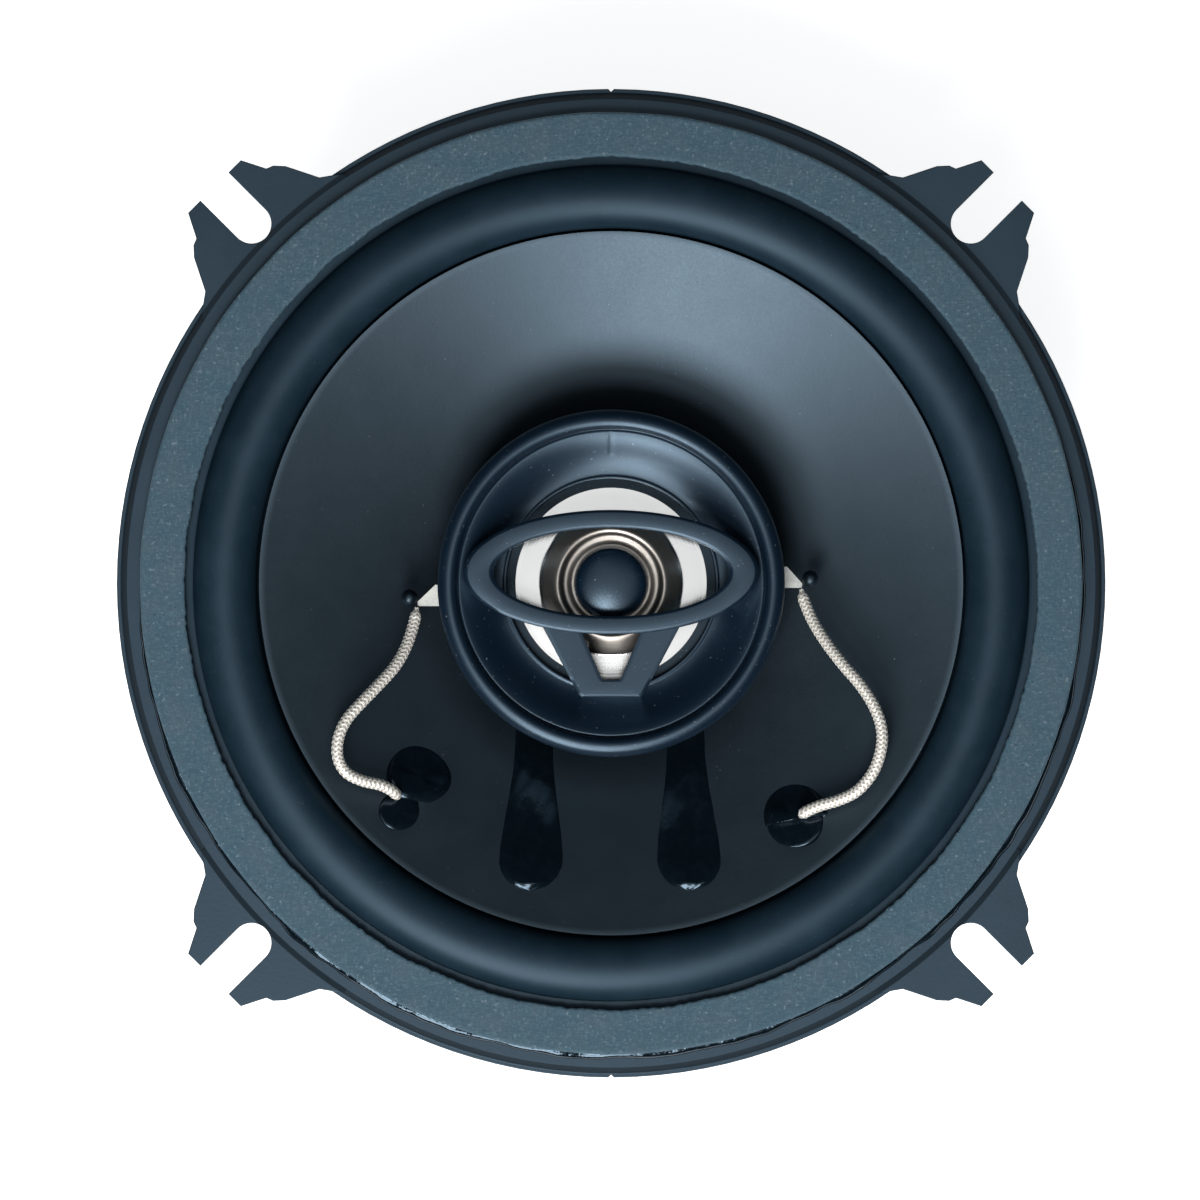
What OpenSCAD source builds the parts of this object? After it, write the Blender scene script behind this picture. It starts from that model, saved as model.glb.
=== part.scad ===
// Two-way coaxial car speaker with four slotted mounting ears.
// +Z is the sounding axis. The origin is the centre of the flange's seat plane,
// which touches the panel; the motor lies below it at negative Z.

/* [Rim and ears] */
// Outer diameter of the basket's rim
rim_d = 130; // [108:1:156]
// Thickness of the basket's pressed steel
sheet = 0.8; // [0.6:0.1:1.2]
// Height of the rim's plateau above the foot that touches the panel
rim_step = 0.9; // [0.6:0.1:1.5]
// Width of the flange from the cut-out spigot to the rim's edge
flange_w = 7.8; // [6.5:0.1:9.5]
// Width of each ear's open slot
ear_slot_w = 5.2; // [4.2:0.1:6.2]
// How far each slot's end centre lies outside the rim's radius
ear_slot_out = 1.8; // [1.2:0.1:2.2]
// How far each ear's tip reaches outside the rim's radius
ear_reach = 8.7; // [7:0.1:10.5]
// Width of each ear at its tip
ear_tip_w = 9.8; // [8.5:0.1:11.8]
// Width of each ear where it leaves the rim
ear_root_w = 24; // [22:0.5:28]

/* [Basket] */
// Depth from the seat plane to the face that the motor is fixed to
basket_depth = 26; // [22:0.5:31.5]
// Length of the straight spigot below the seat plane
spigot_depth = 7; // [5.5:0.5:8.5]
// Height of the spider's ledge above the motor's face
ledge_rise = 5.5; // [5:0.1:6.5]
// Outer radius of the spider's ledge
ledge_r = 39.6; // [38:0.2:42]
// Radius of the step between the ledge and the motor's seat
step_r = 30.6; // [30:0.2:32]
// Width of each spoke between the windows
spoke_w = 22; // [16:0.5:26]
// Width of the flat web that carries the terminal board
web_w = 15; // [12:0.5:18]

/* [Gasket, surround and cone] */
// Width of the gasket ring
gasket_w = 5.9; // [4.9:0.1:7.1]
// Thickness of the gasket
gasket_t = 2; // [1.6:0.1:2.4]
// Distance of the gasket's edge from the rim's edge
gasket_inset = 3.2; // [3:0.1:3.8]
// Width of the surround's roll
roll_w = 7.8; // [6.4:0.1:9.4]
// Height of the surround's roll
roll_h = 3.3; // [2.7:0.1:4]
// Thickness of the surround's rubber
surround_t = 0.5; // [0.4:0.1:0.6]
// Thickness of the cone, measured upright
cone_t = 0.6; // [0.5:0.1:0.8]
// How far the cone's neck lies above the spider's ledge
neck_rise = 4; // [3.5:0.1:4.8]

/* [Voice coil and motor] */
// Outer diameter of the coil former
former_d = 25.5; // [21:0.1:31]
// Wall of the coil former
former_t = 0.2; // [0.15:0.05:0.3]
// Build of the winding on the former
winding_t = 0.6; // [0.5:0.1:0.7]
// Height of the winding
winding_h = 8; // [6.5:0.5:9.5]
// Clearance on each side of the moving coil
gap_clear = 0.35; // [0.3:0.05:0.5]
// Diameter of the top plate
top_plate_d = 68; // [66:1:80]
// Thickness of the top plate
top_plate_t = 4; // [3.5:0.1:4.8]
// Diameter of the ferrite ring
magnet_d = 70; // [68:1:84]
// Thickness of the ferrite ring
magnet_t = 13; // [11:0.5:15.5]
// Thickness of the back plate
back_plate_t = 4.5; // [4:0.1:5.4]

/* [Tweeter pod] */
// Outer diameter of the pod's bezel
pod_d = 45.6; // [44:0.2:47]
// Height of the bezel's bead above the seat plane
bead_z = 4.9; // [4.4:0.1:5.6]
// Diameter of the bezel's mouth
mouth_d = 27.4; // [22.8:0.1:30]
// Depth of the pod's rear cup
cup_h = 6.6; // [6.4:0.1:7.4]
// Diameter of the post that carries the pod
post_d = 9; // [8:0.1:10.8]
// Diameter of the tweeter's voice coil, outside
tweeter_coil_d = 14.4; // [12:0.1:15]
// Diameter of the black centre cap
cap_d = 9.4; // [8:0.1:10.4]

/* [Guard] */
// Gap between the oval ring's ends and the bezel's groove
guard_clear = 0.8; // [0.4:0.1:1.5]
// Height of the oval ring, as seen from the front
guard_h = 15.9; // [13:0.1:19]
// Width of the oval ring's upper and lower arms
guard_arm_w = 2.15; // [1.8:0.05:2.6]
// Width of the oval ring's two ends
guard_end_w = 4; // [3.3:0.1:4.8]
// Distance of the guard ring's centre above the axis
guard_up = 1.45; // [0:0.05:1.8]

/* [Terminals] */
// Width of the positive blade
plus_blade_w = 6.3; // [4.8:0.1:6.3]
// Width of the negative blade
minus_blade_w = 4.8; // [2.8:0.1:4.8]
// Length that each blade stands out from its foot
blade_l = 7.7; // [6.5:0.1:8]

/* [Leads] */
// Diameter of the braided tinsel leads
lead_d = 1.4; // [1.2:0.1:1.5]

/* [Hidden] */

$fn = 96;
fit = 0.05;        // radial clearance of a shank in its hole
slip = 0.2;        // clearance of one moulding inside another
eps = 0.01;        // overshoot of a cut past the face it leaves through

// Voice coil and its gap
neck_r = former_d / 2;
former_in_r = neck_r - former_t;
winding_r = neck_r + winding_t;
pole_r = former_in_r - gap_clear;
gap_r = winding_r + gap_clear + 0.2;
magnet_hole_r = gap_r + 2.6;
seat_inner_r = gap_r + 0.6;

// Rim and basket
rim_r = rim_d / 2;
spigot_r = rim_r - flange_w;
plateau_z = rim_step + sheet;
seat_z = -basket_depth;
ledge_z = seat_z + ledge_rise;
foot_w = 0.7;
shoulder_w = 0.8;
slope_top = [spigot_r - 1.4, -spigot_depth - 1.2];
slope_bottom = [ledge_r, ledge_z - sheet / 2];
basket_line = [[rim_r, sheet / 2],
               [rim_r - foot_w, sheet / 2],
               [rim_r - foot_w - shoulder_w, plateau_z - sheet / 2],
               [spigot_r - sheet / 2, plateau_z - sheet / 2],
               [spigot_r - sheet / 2, -spigot_depth],
               slope_top,
               slope_bottom,
               [step_r, ledge_z - sheet / 2],
               [step_r, seat_z + sheet / 2],
               [seat_inner_r, seat_z + sheet / 2]];
rivet_ring_r = (seat_inner_r + step_r) / 2 + 1.9;
window_margin = 1.6;                       // sheet left at each end of a window
window_r = [ledge_r + window_margin, slope_top[0] - window_margin];
ear_angles = [45, 135, 225, 315];
slot_r = rim_r + ear_slot_out;
tip_r = rim_r + ear_reach;
rivet_d = 3;

// Web and terminal board: on_web() puts the outer face of the web at z = 0
slope_run = slope_top - slope_bottom;
slope_dir = slope_run / norm(slope_run);
web_mid = slope_bottom + slope_dir * norm(slope_run) * 0.42;
web_tilt = 180 - atan2(slope_dir[1], slope_dir[0]);
board_size = [32, 13, 1.6];
blade_t = 0.8;
blade_x = 9;
terminal_rivet_x = 12.6;
board_rivet_y = 3.9;
small_rivet_d = 2.4;

// Gasket, surround and cone
gasket_r = rim_r - gasket_inset;
gasket_hole_r = gasket_r - gasket_w;
gasket_z = plateau_z + surround_t;
roll_outer_r = gasket_hole_r - 1.25;
roll_mid_r = roll_outer_r - roll_w / 2;
roll_inner_r = roll_outer_r - roll_w;
cone_r = roll_inner_r - 0.65;
lip_r = cone_r - 3.7;
neck_z = ledge_z + neck_rise;
cone_edge_z = plateau_z + 0.9;
cone_bow = 0.75;                           // under 1: the flare is steepest at the neck
fillet_r = neck_r + 1.5;
function cone_z(r) = neck_z + (cone_edge_z - neck_z) * pow(max(r - neck_r, 0) / (cone_r - neck_r), cone_bow);
cone_radii = concat([neck_r, fillet_r], [for (i = [1:7]) lerp(fillet_r, lip_r, i / 7)], [cone_r]);
cone_front = [for (r = cone_radii) [r, cone_z(r)]];

// Motor
pole_z = seat_z + 0.5;
winding_z = seat_z - top_plate_t / 2 - winding_h / 2;
magnet_z = seat_z - top_plate_t - magnet_t;
back_z = magnet_z - back_plate_t;
bolt_hole_r = 2.2;
head_r = 3.8;
head_h = 2.4;
chamfer = 0.8;

// Spider
spider_t = 0.4;
spider_r = ledge_r - 2;
spider_flat = spider_r - 6;
spider_neck_r = neck_r + 0.3;
spider_waves = 5;
spider_wave_h = 0.8;

// Tweeter pod: shelf_z is the shelf on which the tweeter's edge and the bezel sit
pod_r = pod_d / 2;
mouth_r = mouth_d / 2;
shelf_z = -1.4;
cup_floor_z = shelf_z - cup_h + 1.4;
cup_bottom_z = cup_floor_z - 1.4;
cup_wall = 1.2;
tweeter_edge_r = mouth_r + 0.3;
clamp_r = tweeter_edge_r + 0.6;
clamp_in_r = mouth_r - 1.1;
cup_r = clamp_r + slip + cup_wall;
bezel_wall = 1.2;
cup_flange_r = pod_r - bezel_wall - slip;
cup_flange_t = 1.2;
skirt_z = shelf_z - cup_flange_t;
bead_r = 1.25;
bead_mid_r = pod_r - bead_r;
groove_r = bead_mid_r - bead_r + 0.1;
groove_z = bead_z - 1.1;
lip_z = 0.3;                               // front of the bezel's mouth
lip_t = 0.8;
dish_bow = 2.2;
function dish_z(r) = lip_z + (groove_z - lip_z) * pow((r - mouth_r) / (groove_r - mouth_r), dish_bow);
post_r = post_d / 2;
post_stud_r = 3;
screw_r = 2;
screw_reach = 8;

// Tweeter motor
film_t = 0.3;
coil_r = tweeter_coil_d / 2;
coil_t = 0.4;
tweeter_gap = 0.35;
pole_plate_r = coil_r - coil_t - tweeter_gap;
yoke_in_r = coil_r + tweeter_gap;
yoke_wall = 1.8;
yoke_base_t = 1.5;
pole_plate_t = 1;
coil_top_z = -0.05;
cap_base_z = 0.15;
cap_h = 2.3;

// Guard
guard_top_z = bead_z + 0.3;
guard_t = 1.8;
guard_foot_z = 0.2;
strut_top_w = 18.1;
strut_foot_w = 8.1;
guard_w = 2 * (groove_r - guard_clear);
guard_hole_w = guard_w - 2 * guard_end_w;
guard_hole_h = guard_h - 2 * guard_arm_w;
strut_from_y = guard_up - guard_h / 2 + 0.5;
strut_to_y = -mouth_r - 1.2;

// Solder tabs and leads
tab_t = 0.5;
tab_z = skirt_z - tab_t;
function fitted(route, from, to) =
    let (n = len(route) - 1, a = from - route[0], b = to - route[n])
    [for (i = [0:n]) route[i] + a * (1 - i / n) + b * i / n];
function on_cone(x, y, up) = [x, y, cone_z(norm([x, y])) + up];
// A point given on the outer face of the terminal web: across, down the slope, outwards
function web_point(x, y, z) =
    let (t = web_tilt, out = z + sheet / 2)
    [x, y * cos(t) - out * sin(t) - web_mid[0], y * sin(t) + out * cos(t) + web_mid[1]];
left_path = [[-25.6, -3.2, -2.0], [-26.0, -5.4, -1.6], [-27.0, -8.4, -0.4], [-28.4, -10.9, 0.8],
              [-30.5, -13.3, 2.0], [-32.6, -15.5, 3.0], [-34.6, -17.8, 3.7], [-35.7, -20.2, 4.1],
              [-35.8, -22.8, 4.1], [-34.7, -24.8, 3.8], [-32.6, -25.9, 3.2], [-30.2, -26.5, 2.5],
              [-28.7, -27.3, 1.8], [-28.1, -28.0, 1.0], [-28.0, -28.2, 0.2]];
right_path = [[25.1, -0.8, -2.0], [25.5, -2.4, -1.7], [26.6, -5.0, -0.8], [28.3, -7.8, 0.5],
               [30.4, -10.6, 1.8], [32.6, -13.2, 2.9], [34.4, -16.0, 3.7], [35.4, -18.8, 4.1],
               [35.4, -21.6, 4.2], [34.4, -24.6, 4.0], [32.4, -27.1, 3.5], [30.0, -28.4, 2.8],
               [27.4, -29.2, 2.2], [25.6, -30.0, 1.5], [25.0, -30.5, 0.8], [24.9, -30.6, 0.1]];
coil_path = [[9.5, -38.5, -1.7], [9.5, -38.6, -3.6], [9.8, -39.2, -5.8], [10.4, -40.6, -7.8],
              [11.2, -42.6, -9.2], [11.9, -44.8, -10.0], [12.4, -46.6, -11.0], [12.6, -47.6, -12.6],
              [12.6, -48.4, -14.0]];
tweeter_path = [[26, -26.5, -2.9], [26, -26.8, -5.0], [25.4, -28.2, -7.4], [23.8, -30.8, -9.6],
                 [21.4, -34.0, -11.4], [18.4, -37.2, -13.0], [15.4, -40.2, -14.4], [13.2, -42.2, -15.6],
                 [12.6, -43.0, -16.6], [12.6, -43.9, -17.7]];
left_route = fitted(left_path, left_path[0], on_cone(-28, -28.2, 0.44));
right_route = fitted(right_path, right_path[0], on_cone(24.9, -30.6, 0.47));
coil_route = fitted(coil_path, on_cone(9.5, -38.5, -1.42), web_point(terminal_rivet_x, 2.54, -0.4));
tweeter_route = fitted(tweeter_path, on_cone(26, -26.5, -1.46), web_point(terminal_rivet_x, -3.28, -0.27));
eyelet_r = 4;
eyelet_h = 1.1;
bead_h = 1;

function lerp(a, b, t) = a + (b - a) * t;
function unit(v) = v / norm(v);
function left_of(v) = [-v[1], v[0]];
function leg(p, i) = unit(p[min(i + 1, len(p) - 1)] - p[min(i, len(p) - 2)]);
// The point at distance d to the left of corner i of an open line, mitred
function beside(p, i, d) =
    let (a = left_of(leg(p, max(i - 1, 0))), b = left_of(leg(p, i)), m = unit(a + b)) p[i] + m * d / (m * a);
// The closed outline of a sheet of thickness t along an open centre line
function strip(p, t) = concat([for (i = [0:len(p) - 1]) beside(p, i, t / 2)],
                              [for (i = [len(p) - 1:-1:0]) beside(p, i, -t / 2)]);
function arc(c, rx, ry, a0, a1, n) = [for (i = [0:n]) c + [rx * cos(lerp(a0, a1, i / n)),
                                                           ry * sin(lerp(a0, a1, i / n))]];
function ellipse(w, h, n = 72) = [for (i = [0:n - 1]) [w / 2 * cos(360 * i / n), h / 2 * sin(360 * i / n)]];
function mirrored(route) = [for (p = route) [-p[0], p[1], p[2]]];
function tangents(p) = [for (i = [0:len(p) - 1]) unit(p[min(i + 1, len(p) - 1)] - p[max(i - 1, 0)])];
// A normal carried along the tangents without twist
function carried(t, n, i = 0) =
    let (m = unit(n - (n * t[i]) * t[i])) i == len(t) - 1 ? [m] : concat([m], carried(t, m, i + 1));

// A ring turned from an outline of [radius, z] points
module turned(outline) {
    rotate_extrude() polygon(outline);
}

// A plain ring with square edges
module ring(r_in, r_out, z, h) {
    translate([0, 0, z]) difference() {
        cylinder(r = r_out, h = h);
        translate([0, 0, -eps]) cylinder(r = r_in, h = h + 2 * eps);
    }
}

// A round wire swept through the points of a route
module wire(route, d, sides = 8) {
    t = tangents(route);
    n = carried(t, [1, 0.1, 0]);
    last = len(route) - 1;
    points = [for (i = [0:last]) for (k = [0:sides - 1])
              route[i] + d / 2 * (cos(360 * k / sides) * n[i] + sin(360 * k / sides) * cross(t[i], n[i]))];
    skin = [for (i = [0:last - 1]) for (k = [0:sides - 1])
            let (j = (k + 1) % sides)
            [i * sides + k, (i + 1) * sides + k, (i + 1) * sides + j, i * sides + j]];
    start = [for (k = [0:sides - 1]) k];
    end = [for (k = [sides - 1:-1:0]) last * sides + k];
    polyhedron(points, concat([start], skin, [end]));
}

// Places its children on the outer face of the terminal web, z outwards
module on_web() {
    translate([0, -web_mid[0], web_mid[1]]) rotate([web_tilt, 0, 0])
        translate([0, 0, sheet / 2]) children();
}

// Everything in front of the cone's face, up to h above it
module above_cone(h) {
    turned(concat(cone_front, [for (i = [len(cone_front) - 1:-1:0]) cone_front[i] + [0, h]]));
}

// An annular window of the basket's slope between two angles
module window(from, to) {
    far = 90;
    mid = (from + to) / 2;
    translate([0, 0, ledge_z - 5]) intersection() {
        difference() {
            cylinder(r = window_r[1], h = -ledge_z);
            translate([0, 0, -1]) cylinder(r = window_r[0], h = -ledge_z + 2);
        }
        linear_extrude(-ledge_z) polygon([[0, 0], far * [cos(from), sin(from)],
                                          far * [cos(mid), sin(mid)], far * [cos(to), sin(to)]]);
    }
}

// One ear's outline, pointing along +X
function ear_half() = [[rim_r - 5, ear_root_w / 2 + 1.2], [rim_r - 2.2, ear_root_w / 2 + 1.2],
                       [rim_r - 1.2, ear_root_w / 2], [rim_r - 0.2, ear_root_w / 2 - 1.4],
                       [rim_r + 4, ear_root_w / 2 - 3.5], [rim_r + 5.2, ear_tip_w / 2 + 2.5],
                       [rim_r + 5.55, ear_tip_w / 2 + 1.6], [tip_r, ear_tip_w / 2]];
module ear_plate() {
    half = ear_half();
    turn = [for (i = [len(half) - 1:-1:0]) [half[i][0], -half[i][1]]];
    translate([0, 0, rim_step]) linear_extrude(sheet) polygon(concat(half, turn));
}

// The turned-down lip along both sides of an ear
module ear_lips() {
    half = ear_half();
    side = [for (i = [2:5]) half[i]];
    inner = [for (i = [5:-1:2]) half[i] - [0, sheet + 0.3]];
    for (flip = [0, 1]) mirror([0, flip, 0])
        linear_extrude(rim_step + sheet / 2) polygon(concat(side, inner));
}

module ear_slot() {
    translate([slot_r, 0, -1]) cylinder(d = ear_slot_w, h = 4);
    translate([slot_r, -ear_slot_w / 2, -1]) cube([ear_reach, ear_slot_w, 4]);
}

module basket() {
    spoke = asin(spoke_w / (window_r[0] + window_r[1]));
    color([0.07, 0.08, 0.11]) difference() {
        union() {
            difference() {
                turned(strip(basket_line, sheet));
                for (a = ear_angles) rotate(a)
                    translate([rim_r - 2.4, -ear_root_w / 2 + 2.1, -1]) cube([4, ear_root_w - 4.2, 4]);
                for (a = [0, 90, 180]) window(a - 45 + spoke, a + 45 - spoke);
                window(225 + spoke, 315 - spoke);
            }
            for (a = ear_angles) rotate(a) {
                ear_plate();
                ear_lips();
            }
            terminal_web();
        }
        for (a = ear_angles) rotate(a) {
            ear_slot();
            translate([rivet_ring_r, 0, seat_z - 1]) cylinder(d = rivet_d + 2 * fit, h = 3);
        }
        for (side = [90, 270]) rotate(side) translate([rim_r + 0.25, 0, -1]) rotate(45)
            cube([0.9, 0.9, 6], center = true);
        on_web() board_holes(small_rivet_d / 2 + fit);
    }
}

// Flat web down the slope at -Y, tied into the ledge at its inner end
module terminal_web() {
    upper = slope_top - slope_dir * 0.5;
    line = [[-upper[0], upper[1]], [-slope_bottom[0], slope_bottom[1]], [-slope_bottom[0] + 3, slope_bottom[1]]];
    translate([-web_w / 2, 0, 0]) rotate([90, 0, 90]) linear_extrude(web_w) polygon(strip(line, sheet));
}

module board_holes(r) {
    for (y = [-board_rivet_y, board_rivet_y]) translate([0, y, -3]) cylinder(r = r, h = 6);
}

module basket_rivets() {
    r = rivet_d / 2;
    color("dimgray") for (a = ear_angles) rotate(a) translate([rivet_ring_r, 0, seat_z])
        turned([[0, -2.8], [r, -2.8], [r, sheet], [2.6, sheet], [2.6, sheet + 0.3], [1.9, sheet + 0.9], [0, sheet + 0.9]]);
}

module top_plate() {
    r = top_plate_d / 2;
    color([0.1, 0.11, 0.13]) difference() {
        turned([[gap_r, seat_z - top_plate_t], [r, seat_z - top_plate_t], [r, seat_z - chamfer],
                [r - chamfer, seat_z], [gap_r, seat_z]]);
        for (a = ear_angles) rotate(a) translate([rivet_ring_r, 0, seat_z - 3])
            cylinder(d = rivet_d + 2 * fit, h = 4);
    }
}

module magnet() {
    r = magnet_d / 2;
    color([0.22, 0.22, 0.24]) turned([[magnet_hole_r, magnet_z], [r - chamfer, magnet_z], [r, magnet_z + chamfer],
                        [r, magnet_z + magnet_t - chamfer], [r - chamfer, magnet_z + magnet_t],
                        [magnet_hole_r, magnet_z + magnet_t]]);
}

module back_plate() {
    r = top_plate_d / 2;
    foot = head_h + 0.4;
    color([0.1, 0.11, 0.13]) turned([[head_r + slip, back_z], [r - chamfer, back_z], [r, back_z + chamfer],
            [r, magnet_z], [pole_r, magnet_z], [pole_r, pole_z - chamfer], [pole_r - chamfer, pole_z],
            [bolt_hole_r, pole_z], [bolt_hole_r, back_z + foot], [head_r + slip, back_z + foot]]);
}

module gasket() {
    color([0.24, 0.32, 0.36]) ring(gasket_hole_r, gasket_r, gasket_z, gasket_t);
}

// Squeezed-out adhesive along the lower half of the gasket's edge
module gasket_adhesive() {
    color([0.02, 0.02, 0.03]) rotate(182) rotate_extrude(angle = 196)
        polygon([[gasket_r, plateau_z], [gasket_r + 1, plateau_z], [gasket_r + 0.7, plateau_z + 0.6],
                 [gasket_r, plateau_z + 1.2]]);
}

// One rubber ring: a flat under the gasket, the roll, and a lip under the cone's edge
module surround() {
    mid_z = plateau_z + surround_t / 2;
    roll = concat([[gasket_r - 0.5, mid_z]], arc([roll_mid_r, mid_z], roll_w / 2, roll_h, 0, 180, 14));
    foot = [roll_inner_r - surround_t / 2, roll_inner_r + surround_t / 2];
    under = cone_t + surround_t;
    color([0.05, 0.06, 0.09]) {
        turned(strip(roll, surround_t));
        turned([[lip_r, cone_z(lip_r) - cone_t], [cone_r, cone_edge_z - cone_t], [foot[0], mid_z + 0.05],
                [foot[1], mid_z + 0.05], [foot[1], mid_z - 0.3], [cone_r, cone_edge_z - under],
                [lip_r, cone_z(lip_r) - under]]);
    }
}

module cone() {
    rear = [for (i = [len(cone_front) - 1:-1:0]) cone_front[i] - [0, cone_t]];
    color([0.09, 0.1, 0.12]) turned(concat(cone_front, rear));
}

// Where each front lead goes through the cone
module lead_eyelets() {
    color([0.03, 0.03, 0.04]) for (route = [left_route, right_route]) intersection() {
        tip = route[len(route) - 1];
        away = [tip[0] < 0 ? 3.4 : 0, tip[0] < 0 ? 2.9 : 0];
        difference() {
            translate([tip[0] + away[0], tip[1] + away[1], -20]) cylinder(r = eyelet_r, h = 40);
            translate([tip[0], tip[1], -20]) cylinder(r = lead_d, h = 40);
        }
        above_cone(eyelet_h);
    }
}

// Adhesive over the voice coil's wires, down the lower part of the cone
module coil_lead_beads() {
    color([0.03, 0.03, 0.04]) for (side = [-1, 1]) intersection() {
        translate([side * 9.8, 0, -20]) linear_extrude(40) union() {
            polygon([[-2.9, -21], [2.9, -21], [4.3, -36.5], [-4.3, -36.5]]);
            translate([side * 0.8, -36.5]) circle(r = 4.1);
        }
        above_cone(bead_h);
    }
}

module neck_adhesive() {
    color([0.03, 0.03, 0.04]) turned([[neck_r, cone_z(neck_r)], [fillet_r, cone_z(fillet_r)], [neck_r, cone_z(fillet_r) + 0.3]]);
}

module coil_former() {
    color([0.72, 0.7, 0.62]) ring(former_in_r, neck_r, winding_z, neck_z + 1 - winding_z);
}

module coil_winding() {
    color([0.62, 0.3, 0.12]) ring(neck_r, winding_r, winding_z, winding_h);
}

module spider() {
    mid_z = ledge_z + spider_t / 2;
    steps = 8 * spider_waves;
    inner = spider_neck_r + 1.2;
    clear_r = step_r - 0.8;
    wave = [for (i = [1:steps]) [i < 4 ? lerp(spider_flat, clear_r, i / 4) : lerp(clear_r, inner, (i - 4) / (steps - 4)),
                                 mid_z + spider_wave_h * sin(45 * i)]];
    line = concat([[spider_r, mid_z], [spider_flat, mid_z]], wave, [[spider_neck_r + 0.2, mid_z]]);
    color([0.62, 0.53, 0.28]) turned(strip(line, spider_t));
}

module terminal_board() {
    color([0.16, 0.11, 0.07]) on_web() difference() {
        translate([-board_size[0] / 2, -board_size[1] / 2, 0]) cube(board_size);
        board_holes(small_rivet_d / 2 + fit);
        for (side = [-1, 1]) translate([side * terminal_rivet_x, 0, -3])
            cylinder(r = small_rivet_d / 2 + fit, h = 6);
    }
}

// A flat-headed rivet from z = 0 up to z = grip, with a head at each end
module rivet(grip) {
    r = small_rivet_d / 2;
    turned([[0, -0.6], [r + 0.6, -0.6], [r + 1, -0.2], [r + 1, 0], [r, 0], [r, grip], [r + 1, grip],
            [r + 1, grip + 0.2], [r + 0.6, grip + 0.6], [0, grip + 0.6]]);
}

module board_rivets() {
    color("silver") on_web() for (y = [-board_rivet_y, board_rivet_y])
        translate([0, y, -sheet]) rivet(sheet + board_size[2]);
}

// An L-shaped tab: a foot on the board and a blade that stands off it
module terminal(w, side) {
    foot_l = 6.8;
    on_web() translate([side * blade_x, 0, board_size[2]]) mirror([side < 0 ? 1 : 0, 0, 0]) difference() {
        union() {
            translate([0, -w / 2, 0]) cube([foot_l, w, blade_t]);
            translate([0, -w / 2, 0]) cube([blade_t, w, blade_t + blade_l]);
        }
        translate([terminal_rivet_x - blade_x, 0, -1]) cylinder(r = small_rivet_d / 2 + fit, h = 3);
        translate([-1, 0, blade_t + blade_l * 0.6]) rotate([0, 90, 0]) cylinder(d = 1.7, h = 3);
    }
}

module positive_terminal() {
    color("gold") terminal(plus_blade_w, 1);
}

module negative_terminal() {
    color("silver") terminal(minus_blade_w, -1);
}

module terminal_rivets() {
    color("silver") on_web() for (side = [-1, 1])
        translate([side * terminal_rivet_x, 0, 0]) rivet(board_size[2] + blade_t);
}

// Bipolar capacitor with its two wire legs bent down to the board
module crossover_capacitor() {
    can_r = 3.2;
    can_l = 11;
    leg_x = 6.9;
    up = can_r + 0.9;
    color([0.1, 0.16, 0.32]) on_web() translate([0, 0, board_size[2]]) {
        translate([-can_l / 2, 0, up]) rotate([0, 90, 0]) cylinder(r = can_r, h = can_l);
        translate([-leg_x, 0, up]) rotate([0, 90, 0]) cylinder(r = 0.4, h = 2 * leg_x);
        for (side = [-1, 1]) translate([side * leg_x, 0, 0]) cylinder(r = 0.4, h = up + 0.4);
    }
}

module coil_lead_left() {
    color("silver") wire(mirrored(coil_route), lead_d);
}

module coil_lead_right() {
    color("silver") wire(coil_route, lead_d);
}

module tweeter_lead_left() {
    color("silver") wire(mirrored(tweeter_route), lead_d);
}

module tweeter_lead_right() {
    color("silver") wire(tweeter_route, lead_d);
}

module front_lead_left() {
    color("silver") wire(left_route, lead_d);
}

module front_lead_right() {
    color("silver") wire(right_route, lead_d);
}

module tweeter_post() {
    bore_r = screw_r + fit;
    color([0.08, 0.09, 0.12]) turned([[bore_r, pole_z], [post_r, pole_z], [post_r, cup_bottom_z], [post_stud_r, cup_bottom_z],
            [post_stud_r, cup_floor_z], [0, cup_floor_z], [0, pole_z + screw_reach + 0.5],
            [bore_r, pole_z + screw_reach + 0.5]]);
}

module post_screw() {
    top = pole_z + screw_reach;
    head_z = back_z + 0.4;
    color("silver") difference() {
        turned([[0, head_z], [head_r, head_z], [head_r, head_z + head_h], [screw_r, head_z + head_h],
                [screw_r, top], [0, top]]);
        for (a = [0, 90]) rotate(a) translate([-2.4, -0.5, head_z - 1]) cube([4.8, 1, 2.2]);
    }
}

module tweeter_cup() {
    in_r = cup_r - cup_wall;
    color([0.07, 0.08, 0.11]) turned([[post_stud_r + fit, cup_bottom_z], [cup_r, cup_bottom_z], [cup_r, skirt_z], [cup_flange_r, skirt_z],
            [cup_flange_r, shelf_z], [in_r, shelf_z], [in_r, cup_floor_z], [post_stud_r + fit, cup_floor_z]]);
}

module guard_outline() {
    translate([0, guard_up]) difference() {
        polygon(ellipse(guard_w, guard_h));
        polygon(ellipse(guard_hole_w, guard_hole_h));
    }
}

// The V of the guard, seen from the front
module strut_outline() {
    hole_top = strut_from_y - 0.9;
    hole_foot = strut_to_y + 2.3;
    difference() {
        polygon([[-strut_top_w / 2, strut_from_y], [strut_top_w / 2, strut_from_y],
                 [strut_foot_w / 2, strut_to_y], [-strut_foot_w / 2, strut_to_y]]);
        polygon([[-4.4, hole_top], [4.4, hole_top], [1.2, hole_foot], [-1.2, hole_foot]]);
    }
}

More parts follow.
